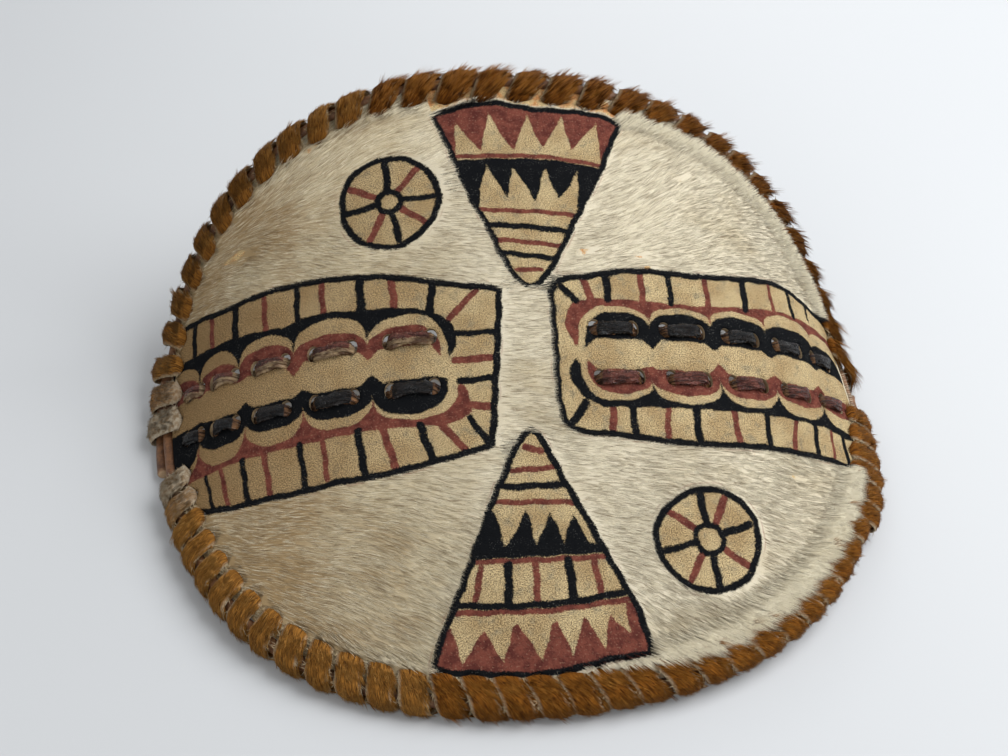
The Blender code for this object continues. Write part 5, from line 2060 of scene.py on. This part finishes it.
@dataclass
class Thong:
    """One rolled thong, out through one slot and in through the next, with a free grip behind."""

    shell: Shell
    painting: Painting
    openings: Openings
    row: Row
    width: float = 0.0068
    drop: float = 0.0009
    thickness: float = 0.0021
    clearance: float = 0.0002
    tail: float = 0.0030
    standoff: float = 0.0240
    grip_shoulder: float = 0.0180
    sides: int = 28
    twist_length: float = 0.0170
    unpainted_drop: float = 0.0032
    plumpness: float = 2.0
    ring_step: float = 0.0006

    def build(self, finishes: Finishes) -> None:
        """Build and dress the thong."""
        openings = self.openings
        over = self.shell.thickness / 2.0 + self.clearance + self.thickness / 2.0
        rise = over - 0.0005
        route = []
        windows = openings.windows()
        for number, (middle, reach) in enumerate(windows):
            emerge = reach - openings.slot_length * 0.02
            pass_in = reach - openings.slot_length * 0.20
            dive = reach - openings.slot_length * 0.52
            if number == 0:
                route.append((middle - emerge - self.tail, -over))
            if number == openings.windows_per_side:
                route.append((middle - emerge - self.grip_shoulder, -self.standoff))
            arch = ((dive * 0.4, rise), (dive, rise * 0.88), (pass_in, 0.0), (emerge, -over))
            route += [(middle - end, height) for end, height in reversed(arch)]
            route += [(middle + end, height) for end, height in arch]
            if number == openings.windows_per_side - 1:
                route.append((middle + emerge + self.grip_shoulder, -self.standoff))
            if number == len(windows) - 1:
                route.append((middle + emerge + self.tail, -over))
        route = np.array(route)
        run = run_along(route)
        wanted = np.linspace(0.0, run[-1], int(run[-1] / self.ring_step))
        path = flow(run, route, wanted)
        sway = 0.0004 * np.sin(wanted * 310.0 + self.row.height * 900.0)
        flat = np.stack([path[:, 0], self.row.height - self.drop + sway], -1)
        middles = self.shell.bend(flat, path[:, 1])
        along = unit(np.gradient(middles, axis=0))
        upward = unit(self.shell.bent_way(flat, np.array([0.0, 1.0])))
        upward = unit(upward - along * (along * upward).sum(1)[:, None])
        outward = np.cross(along, upward)
        turns = round_turns(self.sides)
        phase = wanted / self.twist_length * math.tau
        ridge = (1.0 + 0.11 * np.cos(2.0 * turns[None] - phase[:, None])
                 + 0.12 * np.cos(7.0 * turns[None] - phase[:, None] * 0.6)
                 + 0.07 * np.cos(4.0 * turns[None] + phase[:, None] * 1.3)
                 + 0.05 * np.cos(3.0 * turns[None] + phase[:, None] * 7.1))
        across = squared(np.cos(turns), 0.75) * self.width / 2.0
        raised = squared(np.sin(turns), 0.75) * self.thickness / 2.0
        raised = np.where(raised > 0.0, raised * self.plumpness, raised)
        rings = (middles[:, None] + upward[:, None] * (across[None] * ridge)[..., None]
                 + outward[:, None] * (raised[None] * ridge)[..., None])
        points, faces = tube(rings, middles)
        places = np.stack([np.repeat(flat[:, 0], self.sides),
                           self.row.height + np.tile(across, len(flat))], -1)
        places = np.concatenate([places, flat[:1], flat[-1:]])
        upper_left = (places[:, 0] < 0.0) * float(self.row.height > 0.0)
        places[:, 1] -= upper_left * self.unpainted_drop
        values = self.painting.values(places / MM)
        values["pale"] = upper_left
        front = (path[:, 1] > self.shell.thickness * 0.2)[:, None] & (raised[None] > -self.thickness * 0.2)
        values["front"] = np.concatenate([front.astype(float).ravel(), [0.0, 0.0]])
        piece = new_piece(self.row.node + "_roll", self.shell.settle(points), faces, values, places)
        make_outward(piece)
        hand_over(piece, finishes.thong, "twisted_thong", self.row.node)


@dataclass(frozen=True)
class Lamp:
    """One square soft light."""

    name: str
    place: tuple[float, float, float]
    aim: tuple[float, float, float]
    size: float
    power: float
    colour: Colour

    def hang(self) -> None:
        """Make the light and hang it in its place."""
        lamp = bpy.data.lights.new(self.name, "AREA")
        lamp.size = self.size
        lamp.energy = self.power
        lamp.color = self.colour
        holder = bpy.data.objects.new(self.name, lamp)
        holder.location = self.place
        holder.rotation_euler = (Vector(self.aim) - Vector(self.place)).to_track_quat("-Z", "Y").to_euler()
        bpy.context.scene.collection.objects.link(holder)


@dataclass(frozen=True)
class Studio:
    """The pale floor, the soft light and the camera."""

    lamps: tuple[Lamp, ...] = (
        Lamp("window_light", (1.05, 0.05, 1.32), (0.0, 0.0, 0.05), 1.4, 33.0, (0.98, 0.985, 1.0)),
        Lamp("front_fill", (-0.7, -1.6, 1.0), (0.0, 0.0, 0.05), 1.6, 9.0, (1.0, 0.985, 0.96)),
        Lamp("back_glow", (0.25, 1.3, 0.40), (0.0, 0.12, 0.0), 0.8, 4.5, (0.98, 0.99, 1.0)),
    )
    room_colour: Colour = (0.95, 0.97, 1.0)
    room_strength: float = 0.42
    floor_size: float = 9.0
    floor_colour: Colour = (0.585, 0.60, 0.61)
    floor_cloud: Colour = (0.565, 0.575, 0.585)
    camera_place: tuple[float, float, float] = (-0.10870, -0.59234, 0.58609)
    camera_heading_deg: float = 9.037
    camera_pitch_deg: float = 40.577
    camera_roll_deg: float = 3.515
    lens_mm: float = 54.1
    sensor_mm: float = 36.0

    def build(self) -> None:
        """Set up the floor, the lights, the world and the camera."""
        self.floor()
        for lamp in self.lamps:
            lamp.hang()
        self.world()
        self.camera()

    def floor(self) -> None:
        """Lay the pale floor."""
        deselect()
        bpy.ops.mesh.primitive_plane_add(size=self.floor_size, location=(0.0, 0.0, 0.0))
        floor = bpy.context.object
        floor.name = "floor"
        material, sheet, shader = new_material("pale_floor", 0.7, 0.3)
        cloud = sheet.noise(sheet.place(), 2.0, 2.0)
        cloudy = sheet.mix(sheet.spread(cloud, 0.3, 0.7, 0.0, 0.3), self.floor_colour, self.floor_cloud)
        sheet.feed(shader.inputs["Base Color"], cloudy)
        floor.data.materials.append(material)

    def world(self) -> None:
        """Set the even light from all round."""
        world = bpy.data.worlds.new("soft_room")
        world.use_nodes = True
        background = world.node_tree.nodes["Background"]
        background.inputs["Color"].default_value = (*self.room_colour, 1.0)
        background.inputs["Strength"].default_value = self.room_strength
        bpy.context.scene.world = world
        bpy.context.scene.view_settings.view_transform = "Standard"

    def camera(self) -> None:
        """Set the camera where the picture was taken from."""
        lens = bpy.data.cameras.new("camera")
        lens.lens = self.lens_mm
        lens.sensor_width = self.sensor_mm
        lens.clip_start = 0.01
        camera = bpy.data.objects.new("camera", lens)
        heading = Matrix.Rotation(math.radians(-self.camera_heading_deg), 4, "Z")
        pitch = Matrix.Rotation(math.radians(90.0 - self.camera_pitch_deg), 4, "X")
        roll = Matrix.Rotation(math.radians(self.camera_roll_deg), 4, "Z")
        camera.matrix_world = Matrix.Translation(self.camera_place) @ heading @ pitch @ roll
        bpy.context.scene.collection.objects.link(camera)
        bpy.context.scene.camera = camera


def main() -> None:
    """Build every piece in order and report it."""
    logging.basicConfig(level=logging.INFO, format="%(name)s: %(message)s")
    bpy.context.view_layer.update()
    Studio().build()
    finishes = Finishes()
    shell = Shell()
    painting = Painting()
    for design in (TOP_TRIANGLE, BOTTOM_TRIANGLE, LEFT_PANEL, RIGHT_PANEL, UPPER_WHEEL, LOWER_WHEEL):
        design.paint(painting)
    for outline in BALD:
        painting.bald_patch(outline)
    for nick in NICKS:
        painting.nick(*nick)
    openings = Openings(shell)
    holes = np.concatenate([strip_holes(shell, strip) for strip in STRIPS])
    PaintedHide(shell, painting, openings, holes).build(finishes)
    straight = HairShape.model("straight_hair", ())
    coat = HairCoat(shell, painting, openings, holes)
    coat.build_long(finishes, straight, HairShape.model("bent_hair", (0.5,)))
    coat.build_clipped(finishes, straight)
    Hoop(shell).build(finishes)
    for number, strip in enumerate(STRIPS):
        lacing = Lacing(shell, openings, strip, seed=31 + number)
        lacing.build_band(finishes)
        lacing.build_hair(finishes, straight)
    for row in openings.rows:
        Thong(shell, painting, openings, row).build(finishes)


if __name__ == "__main__":
    main()
